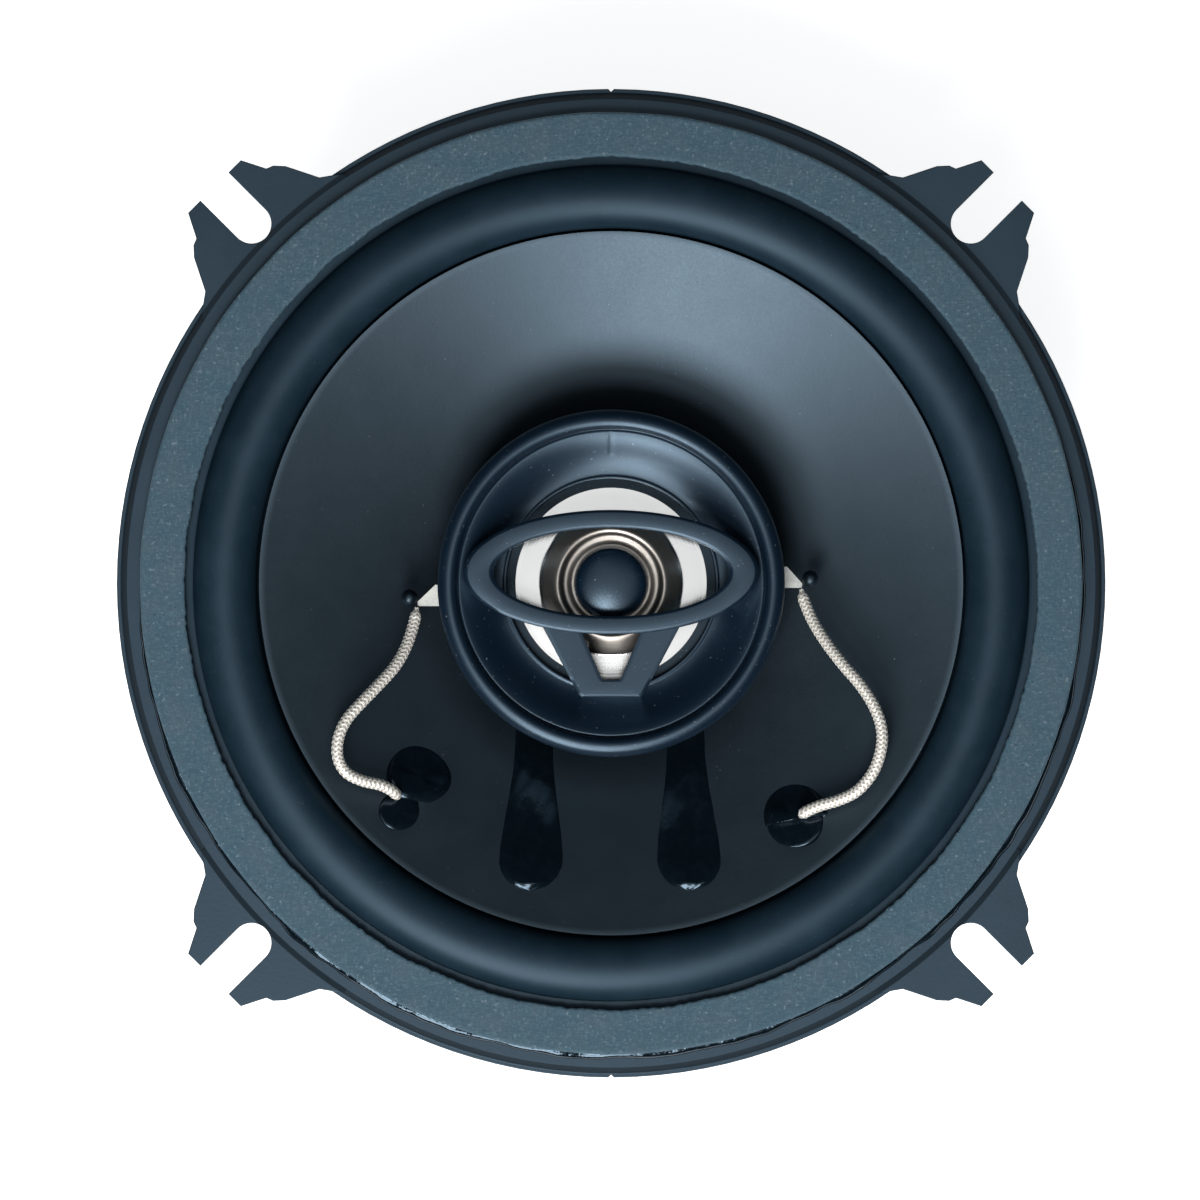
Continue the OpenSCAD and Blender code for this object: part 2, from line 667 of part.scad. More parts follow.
module tweeter_bezel() {
    dish_n = 8;
    dish = [for (i = [0:dish_n]) let (r = lerp(groove_r, mouth_r, i / dish_n)) [r, dish_z(r)]];
    back = [for (i = [dish_n - 3:-1:0]) let (r = lerp(groove_r, mouth_r, i / dish_n)) [r, dish_z(r) - 1.15]];
    outline = concat([[pod_r - bezel_wall, skirt_z], [pod_r, skirt_z]],
                     arc([bead_mid_r, bead_z - bead_r], bead_r, bead_r, 0, 165, 8), dish,
                     [[mouth_r, lip_z - lip_t], [clamp_r + 0.1, lip_z - lip_t]], back,
                     [[pod_r - bezel_wall, groove_z - 1.4]]);
    color([0.1, 0.12, 0.17]) {
        turned(outline);
        translate([0, 0, guard_top_z - guard_t]) linear_extrude(guard_t) guard_outline();
        guard_feet();
        strut();
    }
}

// The ring's two ends, carried down into the dish
module guard_feet() {
    foot_x = guard_hole_w / 2 + 0.2;
    translate([0, 0, guard_foot_z]) linear_extrude(guard_top_z - guard_foot_z) intersection() {
        guard_outline();
        union() for (side = [-1, 1]) translate([side * (foot_x + 5), 0]) square([10, 12], center = true);
    }
}

// The strut falls from the ring to the dish
module strut() {
    top = guard_top_z;
    foot = dish_z(-strut_to_y) + 1;
    intersection() {
        translate([0, 0, -2]) linear_extrude(10) strut_outline();
        translate([-20, 0, 0]) rotate([90, 0, 90]) linear_extrude(40)
            polygon([[strut_from_y, top - guard_t], [strut_from_y, top - 0.1], [strut_from_y - 1.5, top - 0.4],
                     [strut_to_y, foot], [strut_to_y, foot - 1.6]]);
    }
}

module tweeter_tab(side, tip) {
    color("silver") translate([0, 0, tab_z]) linear_extrude(tab_t)
        polygon([[side * (cup_r + 2), tip[1] + 2.6], [side * (cup_r + 2), tip[1] - 0.2], [tip[0], tip[1] - 0.2],
                 [tip[0], tip[1] + 0.4], [side * 23.2, tip[1] + 2.6]]);
}

module tweeter_tab_left() {
    tweeter_tab(-1, [-25.5, -2.8]);
}

module tweeter_tab_right() {
    tweeter_tab(1, [25.2, -0.4]);
}

// Black beads that cover the leads' joints on the tabs
module tab_beads() {
    color([0.03, 0.03, 0.04]) for (p = [[-26.6, -1.9], [26.3, 0.6]])
        translate([p[0], p[1], tab_z]) turned([[0, 0.35], [0.9, 0.35], [1.1, 0.7], [0.9, 1.3], [0.5, 1.7], [0, 1.8]]);
}

module tweeter_yoke() {
    wall_r = yoke_in_r + yoke_wall;
    color([0.3, 0.31, 0.33]) turned([[0, cup_floor_z], [wall_r, cup_floor_z], [wall_r, shelf_z - 1], [tweeter_edge_r, shelf_z - 1],
            [tweeter_edge_r, shelf_z], [yoke_in_r, shelf_z], [yoke_in_r, cup_floor_z + yoke_base_t],
            [0, cup_floor_z + yoke_base_t]]);
}

module tweeter_magnet() {
    z = cup_floor_z + yoke_base_t;
    color("silver") translate([0, 0, z]) cylinder(r = pole_plate_r - 0.8, h = shelf_z - pole_plate_t - 0.2 - z);
}

module tweeter_pole_plate() {
    color([0.4, 0.4, 0.42]) translate([0, 0, shelf_z - pole_plate_t - 0.2])
        cylinder(r = pole_plate_r, h = pole_plate_t);
}

module tweeter_clamp_ring() {
    color([0.03, 0.03, 0.04]) ring(clamp_in_r, clamp_r, shelf_z + film_t, lip_z - lip_t - shelf_z - film_t);
}

module tweeter_diaphragm() {
    edge_z = shelf_z + film_t / 2;
    flat_z = coil_top_z + film_t / 2;
    on_coil = [coil_r + 0.1, coil_r - coil_t - 0.1];
    cap_r = cap_d / 2;
    // each point: share of the way from the coil to the clamped edge, and height
    roll = [[0.92, -0.3], [0.76, 0.25], [0.58, 0.2], [0.45, -0.25], [0.3, -0.45], [0.13, -0.3]];
    // each point: share of the way from the cap to the coil, and height
    crown = [[0.8, -0.1], [0.55, 0.2], [0.25, 0]];
    line = concat([[tweeter_edge_r, edge_z], [clamp_in_r - 0.2, edge_z]],
                  [for (p = roll) [lerp(on_coil[0], clamp_in_r - 0.2, p[0]), p[1]]],
                  [[on_coil[0], flat_z], [on_coil[1], flat_z]],
                  [for (p = crown) [lerp(cap_r, on_coil[1], p[0]), p[1]]], [[cap_r - 1.2, 0]]);
    color([0.8, 0.8, 0.82]) turned(strip(line, film_t));
}

module tweeter_coil() {
    color([0.62, 0.3, 0.12]) ring(coil_r - coil_t, coil_r, coil_top_z - 2.6, 2.6);
}

module tweeter_cap() {
    r = cap_d / 2;
    color([0.08, 0.09, 0.12]) turned(concat([[0, cap_base_z], [r, cap_base_z], [r, cap_base_z + 1.2]],
        arc([0, cap_base_z + 1.2], r, cap_h - 1.2, 15, 90, 6)));
}

basket();
basket_rivets();
top_plate();
magnet();
back_plate();
gasket();
gasket_adhesive();
surround();
cone();
lead_eyelets();
coil_lead_beads();
neck_adhesive();
coil_former();
coil_winding();
spider();
terminal_board();
board_rivets();
positive_terminal();
negative_terminal();
terminal_rivets();
crossover_capacitor();
coil_lead_left();
coil_lead_right();
tweeter_lead_left();
tweeter_lead_right();
front_lead_left();
front_lead_right();
tweeter_post();
post_screw();
tweeter_cup();
tweeter_bezel();
tweeter_tab_left();
tweeter_tab_right();
tab_beads();
tweeter_yoke();
tweeter_magnet();
tweeter_pole_plate();
tweeter_clamp_ring();
tweeter_diaphragm();
tweeter_coil();
tweeter_cap();
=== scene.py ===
"""Looks of a two-way coaxial car speaker with four slotted mounting ears.

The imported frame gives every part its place.  Pressed, turned and plated parts keep
their frame meshes and get their finishes here; paper, rubber, cloth, film, glue, the
moulded pod and the leads are surfaces worked out below.  Shapes are in millimetres
until a mesh is written, +Z is the sounding axis, and the origin is the centre of the
flange's seat plane.
"""

import logging
from dataclasses import dataclass, field
from enum import Enum
from typing import Any, Sequence

import bmesh
import bpy
import numpy as np
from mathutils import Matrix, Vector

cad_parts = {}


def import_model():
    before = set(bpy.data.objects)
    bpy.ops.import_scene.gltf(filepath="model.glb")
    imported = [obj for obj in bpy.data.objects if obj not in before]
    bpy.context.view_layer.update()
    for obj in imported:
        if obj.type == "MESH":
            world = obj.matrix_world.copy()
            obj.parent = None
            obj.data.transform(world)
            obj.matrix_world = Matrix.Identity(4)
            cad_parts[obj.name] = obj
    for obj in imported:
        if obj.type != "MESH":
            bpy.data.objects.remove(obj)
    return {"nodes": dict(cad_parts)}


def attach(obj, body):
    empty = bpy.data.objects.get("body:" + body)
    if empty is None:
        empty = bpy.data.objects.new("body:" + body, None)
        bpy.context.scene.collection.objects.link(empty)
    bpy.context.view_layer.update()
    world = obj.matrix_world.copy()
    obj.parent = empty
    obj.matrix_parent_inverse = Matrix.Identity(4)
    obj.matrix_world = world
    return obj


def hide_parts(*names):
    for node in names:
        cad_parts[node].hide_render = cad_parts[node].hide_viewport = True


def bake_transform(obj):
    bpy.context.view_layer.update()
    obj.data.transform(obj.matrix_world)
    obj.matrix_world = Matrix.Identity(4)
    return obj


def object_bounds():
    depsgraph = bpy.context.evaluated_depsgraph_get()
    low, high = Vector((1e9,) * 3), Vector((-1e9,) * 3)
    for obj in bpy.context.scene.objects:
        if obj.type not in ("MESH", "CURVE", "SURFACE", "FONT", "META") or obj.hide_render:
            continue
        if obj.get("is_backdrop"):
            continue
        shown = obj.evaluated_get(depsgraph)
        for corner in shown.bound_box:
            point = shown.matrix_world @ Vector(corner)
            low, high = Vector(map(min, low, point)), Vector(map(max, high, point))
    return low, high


LOG = logging.getLogger("coaxial_speaker")
MM = 0.001
SAME_PLACE = 2e-7
TAU = 2.0 * np.pi
Colour = tuple[float, float, float]
Route = Sequence[Sequence[float]]
WHITE: Colour = (1.0, 1.0, 1.0)
COOL: Colour = (0.58, 0.8, 1.0)


# ---------------------------------------------------------------- shapes


def smoothstep(x: np.ndarray, low: float, high: float) -> np.ndarray:
    """The S-shaped rise from 0 at low to 1 at high: 3t^2 - 2t^3.

    Args:
        x: Values to rise over.
        low: Where the rise starts.
        high: Where it ends.

    Returns:
        The share for each value.
    """
    t = np.clip((x - low) / (high - low), 0.0, 1.0)
    return t * t * (3.0 - 2.0 * t)


def wander(angle: np.ndarray, seed: int, lowest: int, highest: int) -> np.ndarray:
    """A closed, wandering line round a circle: sines of whole-number rates, random phases.

    Args:
        angle: Angles in radians.
        seed: Seed of the phases.
        lowest: Lowest number of waves round the circle.
        highest: Highest number of waves.

    Returns:
        Heights with a spread of about 1.
    """
    rng = np.random.default_rng(seed)
    rates = np.arange(lowest, highest + 1)
    phase = rng.uniform(0.0, TAU, len(rates))
    size = rng.uniform(0.4, 1.0, len(rates)) / np.sqrt(len(rates) * 0.27)
    return (size * np.sin(angle[..., None] * rates + phase)).sum(-1)


def smooth_line(points: Route, count: int) -> np.ndarray:
    """A smooth open curve through points, sampled at even steps of its length.

    Between points b and c, with a before and d after, the place at share t is the
    cubic through b and c whose slopes there are half of c - a and half of d - b.

    Args:
        points: The points that the curve goes through.
        count: How many samples to return.

    Returns:
        The samples, one row each.
    """
    p = np.asarray(points, float)
    p = np.vstack([2 * p[:1] - p[1:2], p, 2 * p[-1:] - p[-2:-1]])
    spans = len(p) - 3
    u = np.linspace(0.0, spans, 60 * spans + 1)
    i = np.minimum(u.astype(int), spans - 1)
    t = (u - i)[:, None]
    a, b, c, d = p[i], p[i + 1], p[i + 2], p[i + 3]
    fine = 0.5 * (2 * b + (c - a) * t + (2 * a - 5 * b + 4 * c - d) * t**2 + (3 * b - a - 3 * c + d) * t**3)
    return even_steps(fine, count)


def even_steps(line: np.ndarray, count: int) -> np.ndarray:
    """The same line sampled at even steps of its length.

    Args:
        line: Points of the line.
        count: How many samples to return.

    Returns:
        The samples.
    """
    run = np.concatenate([[0.0], np.cumsum(np.linalg.norm(np.diff(line, axis=0), axis=1))])
    at = np.linspace(0.0, run[-1], count)
    return np.stack([np.interp(at, run, axis) for axis in line.T], -1)


def arc(centre: Sequence[float], radii: Sequence[float], start: float, end: float, count: int) -> np.ndarray:
    """Points of an elliptic arc in the radius and height plane.

    Args:
        centre: Centre, radius and height.
        radii: Half width and half height.
        start: First angle in degrees.
        end: Last angle in degrees.
        count: Number of points.

    Returns:
        The points.
    """
    a = np.radians(np.linspace(start, end, count))
    return np.stack([centre[0] + radii[0] * np.cos(a), centre[1] + radii[1] * np.sin(a)], -1)


def sheet_outline(line: np.ndarray, thickness: float) -> np.ndarray:
    """The closed outline of a sheet along an open line: half the thickness to each side.

    Args:
        line: Centre line in the radius and height plane.
        thickness: Thickness of the sheet.

    Returns:
        The outline, once round, with its ends rounded by a point each.
    """
    along = np.gradient(line, axis=0)
    along /= np.linalg.norm(along, axis=1)[:, None]
    side = np.stack([-along[:, 1], along[:, 0]], -1) * thickness / 2
    nose = [line[-1:] + along[-1:] * thickness * 0.3]
    tail = [line[:1] - along[:1] * thickness * 0.3]
    return np.vstack([line + side, *nose, (line - side)[::-1], *tail])


def rounded(corners: Route, radius: float, steps: int = 4) -> np.ndarray:
    """A closed outline with each corner replaced by a parabola that starts and ends radius away from it.

    Args:
        corners: Corners of the outline, once round.
        radius: How far each side of a corner is cut; at most 45% of the shorter side.
        steps: Points on each corner.

    Returns:
        The outline.
    """
    p = np.asarray(corners, float)
    back, ahead = np.roll(p, 1, 0) - p, np.roll(p, -1, 0) - p
    len_b = np.linalg.norm(back, axis=1)[:, None]
    len_a = np.linalg.norm(ahead, axis=1)[:, None]
    cut = np.minimum(radius, 0.45 * np.minimum(len_a, len_b))
    start, end = p + back / len_b * cut, p + ahead / len_a * cut
    t = np.linspace(0.0, 1.0, steps)[None, :, None]
    curve = start[:, None] * (1 - t) ** 2 + 2 * p[:, None] * t * (1 - t) + end[:, None] * t**2
    return curve.reshape(-1, p.shape[1])


def revolved(outline: np.ndarray, count: int) -> np.ndarray:
    """An outline carried round the axis: x is radius times cosine, y radius times sine.

    Args:
        outline: Points of radius and height.
        count: Number of places round the circle.

    Returns:
        Grid of points, places by outline points.
    """
    a = np.linspace(0.0, TAU, count, endpoint=False)[:, None]
    r, z = outline[None, :, 0], outline[None, :, 1]
    return np.stack([r * np.cos(a), r * np.sin(a), np.broadcast_to(z, (count, len(outline)))], -1)


@dataclass
class Skin:
    """The faces of one piece, put together from surfaces given as grids of points.

    Its weave, where it has one, is a value for each point that the leads' finish reads.
    """

    points: list[np.ndarray] = field(default_factory=list)
    quads: list[np.ndarray] = field(default_factory=list)
    weave: np.ndarray | None = None

    def add(self, grid: np.ndarray, wrap_u: bool = False, wrap_v: bool = False) -> "Skin":
        """Adds a grid: each quad joins point (i, j) to (i+1, j), (i+1, j+1) and (i, j+1).

        Args:
            grid: Points, u by v by 3.
            wrap_u: Whether the last row joins the first.
            wrap_v: Whether the last column joins the first.

        Returns:
            The skin itself.
        """
        m, n, _ = grid.shape
        i, j = np.meshgrid(np.arange(m if wrap_u else m - 1), np.arange(n if wrap_v else n - 1), indexing="ij")
        i2, j2 = (i + 1) % m, (j + 1) % n
        quads = np.stack([i * n + j, i2 * n + j, i2 * n + j2, i * n + j2], -1).reshape(-1, 4)
        self.quads.append(quads + sum(len(p) for p in self.points))
        self.points.append(grid.reshape(-1, 3))
        return self

    def add_turned(self, outline: np.ndarray, count: int) -> "Skin":
        """Adds a closed outline turned round the axis."""
        return self.add(revolved(outline, count), True, True)

    def add_tube(self, rings: np.ndarray) -> "Skin":
        """Adds a tube of closed rings, with each end drawn to its middle.

        Args:
            rings: Points, ring by place by 3.

        Returns:
            The skin itself.
        """
        ends = rings[[0, -1]].mean(1, keepdims=True) + np.zeros_like(rings[[0, -1]])
        return self.add(np.concatenate([ends[:1], rings, ends[1:]]), False, True)

    def build(self, name: str, sharp: float = 50.0) -> bpy.types.Object:
        """Writes the mesh, closes its seams and poles, and points its faces outwards.

        Args:
            name: Name of the piece.
            sharp: Edges that bend more than this many degrees stay sharp.

        Returns:
            The new object, at the origin.
        """
        mesh = bpy.data.meshes.new(name)
        mesh.from_pydata((np.vstack(self.points) * MM).tolist(), [], np.vstack(self.quads).tolist())
        if self.weave is not None:
            layer = mesh.attributes.new("weave", "FLOAT", "POINT")
            layer.data.foreach_set("value", self.weave.astype(np.float32).ravel())
        work = bmesh.new()
        work.from_mesh(mesh)
        bmesh.ops.remove_doubles(work, verts=work.verts, dist=SAME_PLACE)
        bmesh.ops.recalc_face_normals(work, faces=work.faces)
        work.to_mesh(mesh)
        work.free()
        mesh.polygons.foreach_set("use_smooth", np.ones(len(mesh.polygons), bool))
        mesh.set_sharp_from_angle(angle=np.radians(sharp))
        piece = bpy.data.objects.new(name, mesh)
        bpy.context.scene.collection.objects.link(piece)
        return piece


# ---------------------------------------------------------------- shader expressions


class Value:
    """A socket of a material, on which Python's arithmetic makes Math nodes."""

    def __init__(self, recipe: "Recipe", socket: bpy.types.NodeSocket) -> None:
        """Wraps a socket.

        Args:
            recipe: The material being written.
            socket: The output socket.
        """
        self.recipe = recipe
        self.socket = socket

    def math(self, operation: str, *values: Any) -> "Value":
        """A Math node of that operation on the values, in their order."""
        return self.recipe.node("ShaderNodeMath", {"operation": operation}, dict(enumerate(values)))

    def __add__(self, other: Any) -> "Value":
        """Sum."""
        return self.math("ADD", self, other)

    def __sub__(self, other: Any) -> "Value":
        """Difference."""
        return self.math("SUBTRACT", self, other)

    def __rsub__(self, other: Any) -> "Value":
        """Difference from a number."""
        return self.math("SUBTRACT", other, self)

    def __mul__(self, other: Any) -> "Value":
        """Product."""
        return self.math("MULTIPLY", self, other)

    __radd__ = __add__
    __rmul__ = __mul__

    def sine(self) -> "Value":
        """Its sine."""
        return self.math("SINE", self)

    def root(self) -> "Value":
        """Its square root."""
        return self.math("SQRT", self)

    def ramp(self, low: float, high: float) -> "Value":
        """A smooth rise from 0 where this is low to 1 where it is high."""
        settings = {"interpolation_type": "SMOOTHSTEP"}
        sockets = {"Value": self, "From Min": low, "From Max": high}
        return self.recipe.node("ShaderNodeMapRange", settings, sockets)


class Recipe:
    """One material and the nodes that are added to it."""

    def __init__(self, name: str) -> None:
        """Starts an empty material with its output and shader.

        Args:
            name: Name of the finish.
        """
        self.material = bpy.data.materials.new(name)
        self.material.use_nodes = True
        self.tree = self.material.node_tree
        self.tree.nodes.clear()
        output = self.tree.nodes.new("ShaderNodeOutputMaterial")
        self.shader = self.tree.nodes.new("ShaderNodeBsdfPrincipled")
        self.tree.links.new(self.shader.outputs[0], output.inputs["Surface"])

    def put(self, socket: bpy.types.NodeSocket, value: Any) -> None:
        """Links a value to a socket, or sets a number or colour on it.

        Args:
            socket: The input socket.
            value: A Value, number, colour or vector.
        """
        if isinstance(value, Value):
            self.tree.links.new(value.socket, socket)
        elif isinstance(value, tuple) and socket.type == "RGBA":
            socket.default_value = (*value, 1.0)[:4]
        else:
            socket.default_value = value

    def node(self, kind: str, settings: dict[str, Any], sockets: dict[Any, Any], out: Any = 0) -> Value:
        """Adds any node: its settings first, then the values or links of its sockets.

        Args:
            kind: Node type.
            settings: Attributes of the node.
            sockets: Input name or number to value.
            out: Output name or number to return.

        Returns:
            The chosen output.
        """
        node = self.tree.nodes.new(kind)
        for key, value in settings.items():
            setattr(node, key, value)
        for key, value in sockets.items():
            self.put(node.inputs[key], value)
        return Value(self, node.outputs[out])

    def place(self) -> Value:
        """The place on the piece, in metres from the origin."""
        return self.node("ShaderNodeTexCoord", {}, {}, "Object")

    def noise(self, size: float, detail: float = 2.0, rough: float = 0.5, stretch: Colour = (1, 1, 1)) -> Value:
        """Cloudy values from 0 to 1.

        Args:
            size: Size of a cloud in millimetres.
            detail: Number of finer layers.
            rough: Strength of the finer layers.
            stretch: Factors on x, y and z, below 1 for longer grains.

        Returns:
            The values.
        """
        at = self.node("ShaderNodeMapping", {}, {"Vector": self.place(), "Scale": stretch})
        settings = {"noise_dimensions": "3D"}
        return self.node("ShaderNodeTexNoise", settings, {
            "Vector": at, "Scale": 1.0 / (size * MM), "Detail": detail, "Roughness": rough})

    def cells(self, size: float) -> Value:
        """Distance from the nearest of scattered points, size millimetres apart."""
        sockets = {"Vector": self.place(), "Scale": 1.0 / (size * MM)}
        return self.node("ShaderNodeTexVoronoi", {"feature": "F1"}, sockets, "Distance")

    def waves(self, length: Value, pitch: float) -> Value:
        """Even waves from 0 to 1 along a length in metres, one every pitch millimetres."""
        return (length * (TAU / (pitch * MM))).sine() * 0.5 + 0.5

    def radius(self) -> Value:
        """Distance from the sounding axis, in metres."""
        x, y, _ = self.axes()
        return (x * x + y * y).root()

    def axes(self) -> list[Value]:
        """The place's x, y and z, in metres."""
        first = self.node("ShaderNodeSeparateXYZ", {}, {"Vector": self.place()})
        return [Value(self, s) for s in first.socket.node.outputs]

    def mix(self, share: Any, a: Any, b: Any) -> Value:
        """Colour a where share is 0 and b where it is 1."""
        return self.node("ShaderNodeMix", {"data_type": "RGBA"}, {0: share, 6: a, 7: b}, 2)

    def bump(self, height: Value, depth: float, under: Any = None) -> Value:
        """A bumped normal.

        Args:
            height: Height from 0 to 1.
            depth: Depth in millimetres that a height of 1 stands for.
            under: A bumped normal that this one is laid over.

        Returns:
            The normal.
        """
        sockets = {"Height": height, "Distance": depth * MM, "Strength": 1.0}
        if under is not None:
            sockets["Normal"] = under
        return self.node("ShaderNodeBump", {}, sockets)

    def edges(self, radius: float) -> Value:
        """A normal that rounds the edges by radius millimetres."""
        return self.node("ShaderNodeBevel", {"samples": 6}, {"Radius": radius * MM})

    def finish(self, **sockets: Any) -> bpy.types.Material:
        """Sets the shader's sockets, named with underscores for blanks, and returns the material."""
        for key, value in sockets.items():
            self.put(self.shader.inputs[key.replace("_", " ")], value)
        return self.material


# ---------------------------------------------------------------- finishes


class Slot(Enum):
    """Names of the record's material slots; no piece here takes its finish from them."""

    BLACK_STEEL = "black_steel"
    CARD = "card"
    GLUE = "glue_black"
    RUBBER = "rubber_black"
    CONE = "cone_black"
    CLOTH = "spider_cloth"
    TINSEL = "tinsel"
    POD = "pod_plastic"
    FILM = "bright_film"


@dataclass(frozen=True)
class Finish:
    """A named finish; each kind below says what feeds its shader."""

    name: str

    def sockets(self, r: Recipe) -> dict[str, Any]:
        """What feeds the shader.

        Args:
            r: The material being written.

        Returns:
            Socket name, with underscores for blanks, to value.
        """
        raise NotImplementedError

    def material(self) -> bpy.types.Material:
        """The finish as a new material."""
        recipe = Recipe(self.name)
        return recipe.finish(**self.sockets(recipe))


@dataclass(frozen=True)
class Enamel(Finish):
    """Baked black enamel on pressed steel, with faint orange peel; the rim's sloping shoulder is painted shade,
    nearly black and duller.
    """

    dark: Colour = (0.0035, 0.011, 0.0185)
    pale: Colour = (0.0065, 0.016, 0.0255)
    gloss: float = 0.36

    def sockets(self, r: Recipe) -> dict[str, Any]:
        """What feeds the shader."""
        cloud = r.noise(9.0, 3.0)
        peel = r.noise(0.55, 1.0)
        dust = r.noise(0.12, 1.0).ramp(0.62, 0.8)
        tint = r.mix(cloud.ramp(0.35, 0.7), self.dark, self.pale)
        away = r.radius()
        # Painted shade: a band on the rim's sloping shoulder, r 63.55 to 64.4 mm, pulls the colour almost to
        # black and raises the roughness.
        painted_hem_shade = away.ramp(0.06355, 0.0637) * (1.0 - away.ramp(0.0643, 0.0645))
        return dict(
            Base_Color=r.mix(painted_hem_shade * 0.85, r.mix(dust * 0.35, tint, (0.06, 0.07, 0.08)), (0.0, 0.001, 0.002)),
            Roughness=cloud * 0.12 + painted_hem_shade * 0.4 + self.gloss,
            Normal=r.bump(peel, 0.008, r.edges(0.18)), IOR=1.5, Specular_Tint=COOL)


@dataclass(frozen=True)
class Plating(Finish):
    """Zinc or tin plating on turned or punched metal, with fine turning marks."""

    pale: Colour = (0.58, 0.59, 0.6)
    dark: Colour = (0.36, 0.37, 0.39)
    gloss: float = 0.3
    rings: float = 0.35

    def sockets(self, r: Recipe) -> dict[str, Any]:
        """What feeds the shader."""
        cloud = r.noise(3.5, 4.0, 0.6)
        turned = (r.radius() * (TAU / (self.rings * MM)) + r.noise(4.0) * 1.5).sine() * 0.5 + 0.5
        spots = r.noise(0.7, 2.0).ramp(0.6, 0.75)
        base = r.mix(cloud.ramp(0.3, 0.75), self.pale, self.dark)
        return dict(
            Base_Color=r.mix(spots * 0.3, base, (0.2, 0.2, 0.2)),
            Metallic=0.92,
            Roughness=cloud * 0.2 + turned * 0.06 + self.gloss,
            Normal=r.bump(turned, 0.004, r.bump(r.noise(0.3, 2.0), 0.006)))


@dataclass(frozen=True)
class Ferrite(Finish):
    """Sintered ferrite: charcoal, matt, with small chips and grinding lines."""

    dark: Colour = (0.028, 0.029, 0.032)
    pale: Colour = (0.06, 0.061, 0.064)

    def sockets(self, r: Recipe) -> dict[str, Any]:
        """What feeds the shader."""
        grain = r.noise(0.5, 4.0, 0.65)
        cloud = r.noise(8.0, 3.0)
        chips = r.cells(2.4).ramp(0.02, 0.16)
        return dict(
            Base_Color=r.mix(grain.ramp(0.35, 0.75), self.dark, r.mix(cloud, self.dark, self.pale)),
            Roughness=grain * 0.2 + 0.5,
            Normal=r.bump(chips, 0.05, r.bump(grain, 0.03)))


@dataclass(frozen=True)
class Card(Finish):
    """Pressed grey-green gasket card, flecked with pale and dark fibres."""

    ground: Colour = (0.026, 0.066, 0.096)
    pale: Colour = (0.078, 0.132, 0.168)
    dark: Colour = (0.012, 0.03, 0.044)

    def sockets(self, r: Recipe) -> dict[str, Any]:
        """What feeds the shader."""
        cloud = r.noise(4.0, 4.0, 0.6)
        fibre = r.noise(0.34, 3.0, 0.7, (1.0, 0.45, 1.0))
        across = r.noise(0.3, 3.0, 0.7, (0.4, 1.0, 1.0))
        fleck = r.noise(0.5, 1.0).ramp(0.66, 0.76)
        pit = r.noise(0.42, 2.0).ramp(0.66, 0.78)
        ground = r.mix(cloud.ramp(0.3, 0.75), self.ground, (0.038, 0.074, 0.098))
        woven = r.mix((fibre * across).ramp(0.2, 0.42) * 0.6, ground, self.pale)
        return dict(
            Base_Color=r.mix(fleck * 0.55, r.mix(pit * 0.5, woven, self.dark), (0.15, 0.21, 0.24)),
            Roughness=fibre * 0.15 + 0.72,
            Normal=r.bump(fibre + across - pit, 0.05, r.bump(cloud, 0.12)))


@dataclass(frozen=True)
class Glue(Finish):
    """Glossy black contact adhesive that has sunk and wrinkled a little as it dried."""

    tint: Colour = (0.002, 0.0045, 0.007)
    gloss: float = 0.12
    wrinkle: float = 0.05

    def sockets(self, r: Recipe) -> dict[str, Any]:
        """What feeds the shader."""
        lumps = r.noise(1.3, 2.0)
        fine = r.noise(0.4, 2.0)
        return dict(
            Base_Color=r.mix(lumps.ramp(0.4, 0.7), self.tint, (0.003, 0.006, 0.0085)),
            Roughness=fine.ramp(0.45, 0.8) * 0.16 + self.gloss,
            Normal=r.bump(lumps, self.wrinkle, r.bump(fine, 0.004)),
            IOR=1.52, Specular_Tint=COOL)


@dataclass(frozen=True)
class Rubber(Finish):
    """Moulded black rubber with a matt bloom."""

    dark: Colour = (0.005, 0.0145, 0.0235)
    bloom: Colour = (0.0085, 0.02, 0.0315)
    gloss: float = 0.42

    def sockets(self, r: Recipe) -> dict[str, Any]:
        """What feeds the shader."""
        cloud = r.noise(7.0, 4.0, 0.6)
        grain = r.noise(0.16, 2.0)
        dust = r.noise(0.25, 1.0).ramp(0.72, 0.8)
        tint = r.mix(cloud.ramp(0.35, 0.7), self.dark, self.bloom)
        return dict(
            Base_Color=r.mix(dust * 0.3, tint, (0.12, 0.14, 0.16)),
            Roughness=cloud * 0.1 + self.gloss,
            Normal=r.bump(grain, 0.005, r.bump(cloud, 0.015)), IOR=1.4, Specular_Tint=COOL)


@dataclass(frozen=True)
class ConePaper(Finish):
    """Black pulp paper with a thin satin coat, slightly mottled."""

    dark: Colour = (0.002, 0.0045, 0.0065)
    pale: Colour = (0.0035, 0.0065, 0.009)
    gloss: float = 0.44

    def sockets(self, r: Recipe) -> dict[str, Any]:
        """What feeds the shader."""
        cloud = r.noise(5.0, 4.0, 0.6)
        pulp = r.noise(0.35, 3.0, 0.6)
        fine = r.noise(0.13, 1.0)
        specks = r.noise(0.3, 0.0).ramp(0.86, 0.9)
        tint = r.mix(cloud.ramp(0.3, 0.7), self.dark, self.pale)
        return dict(
            Base_Color=r.mix(specks * 0.5, tint, (0.2, 0.21, 0.22)),
            Roughness=pulp * 0.1 + cloud * 0.05 + self.gloss,
            Normal=r.bump(pulp + fine * 0.5, 0.011, r.bump(cloud, 0.02)), IOR=1.85, Specular_Tint=COOL)


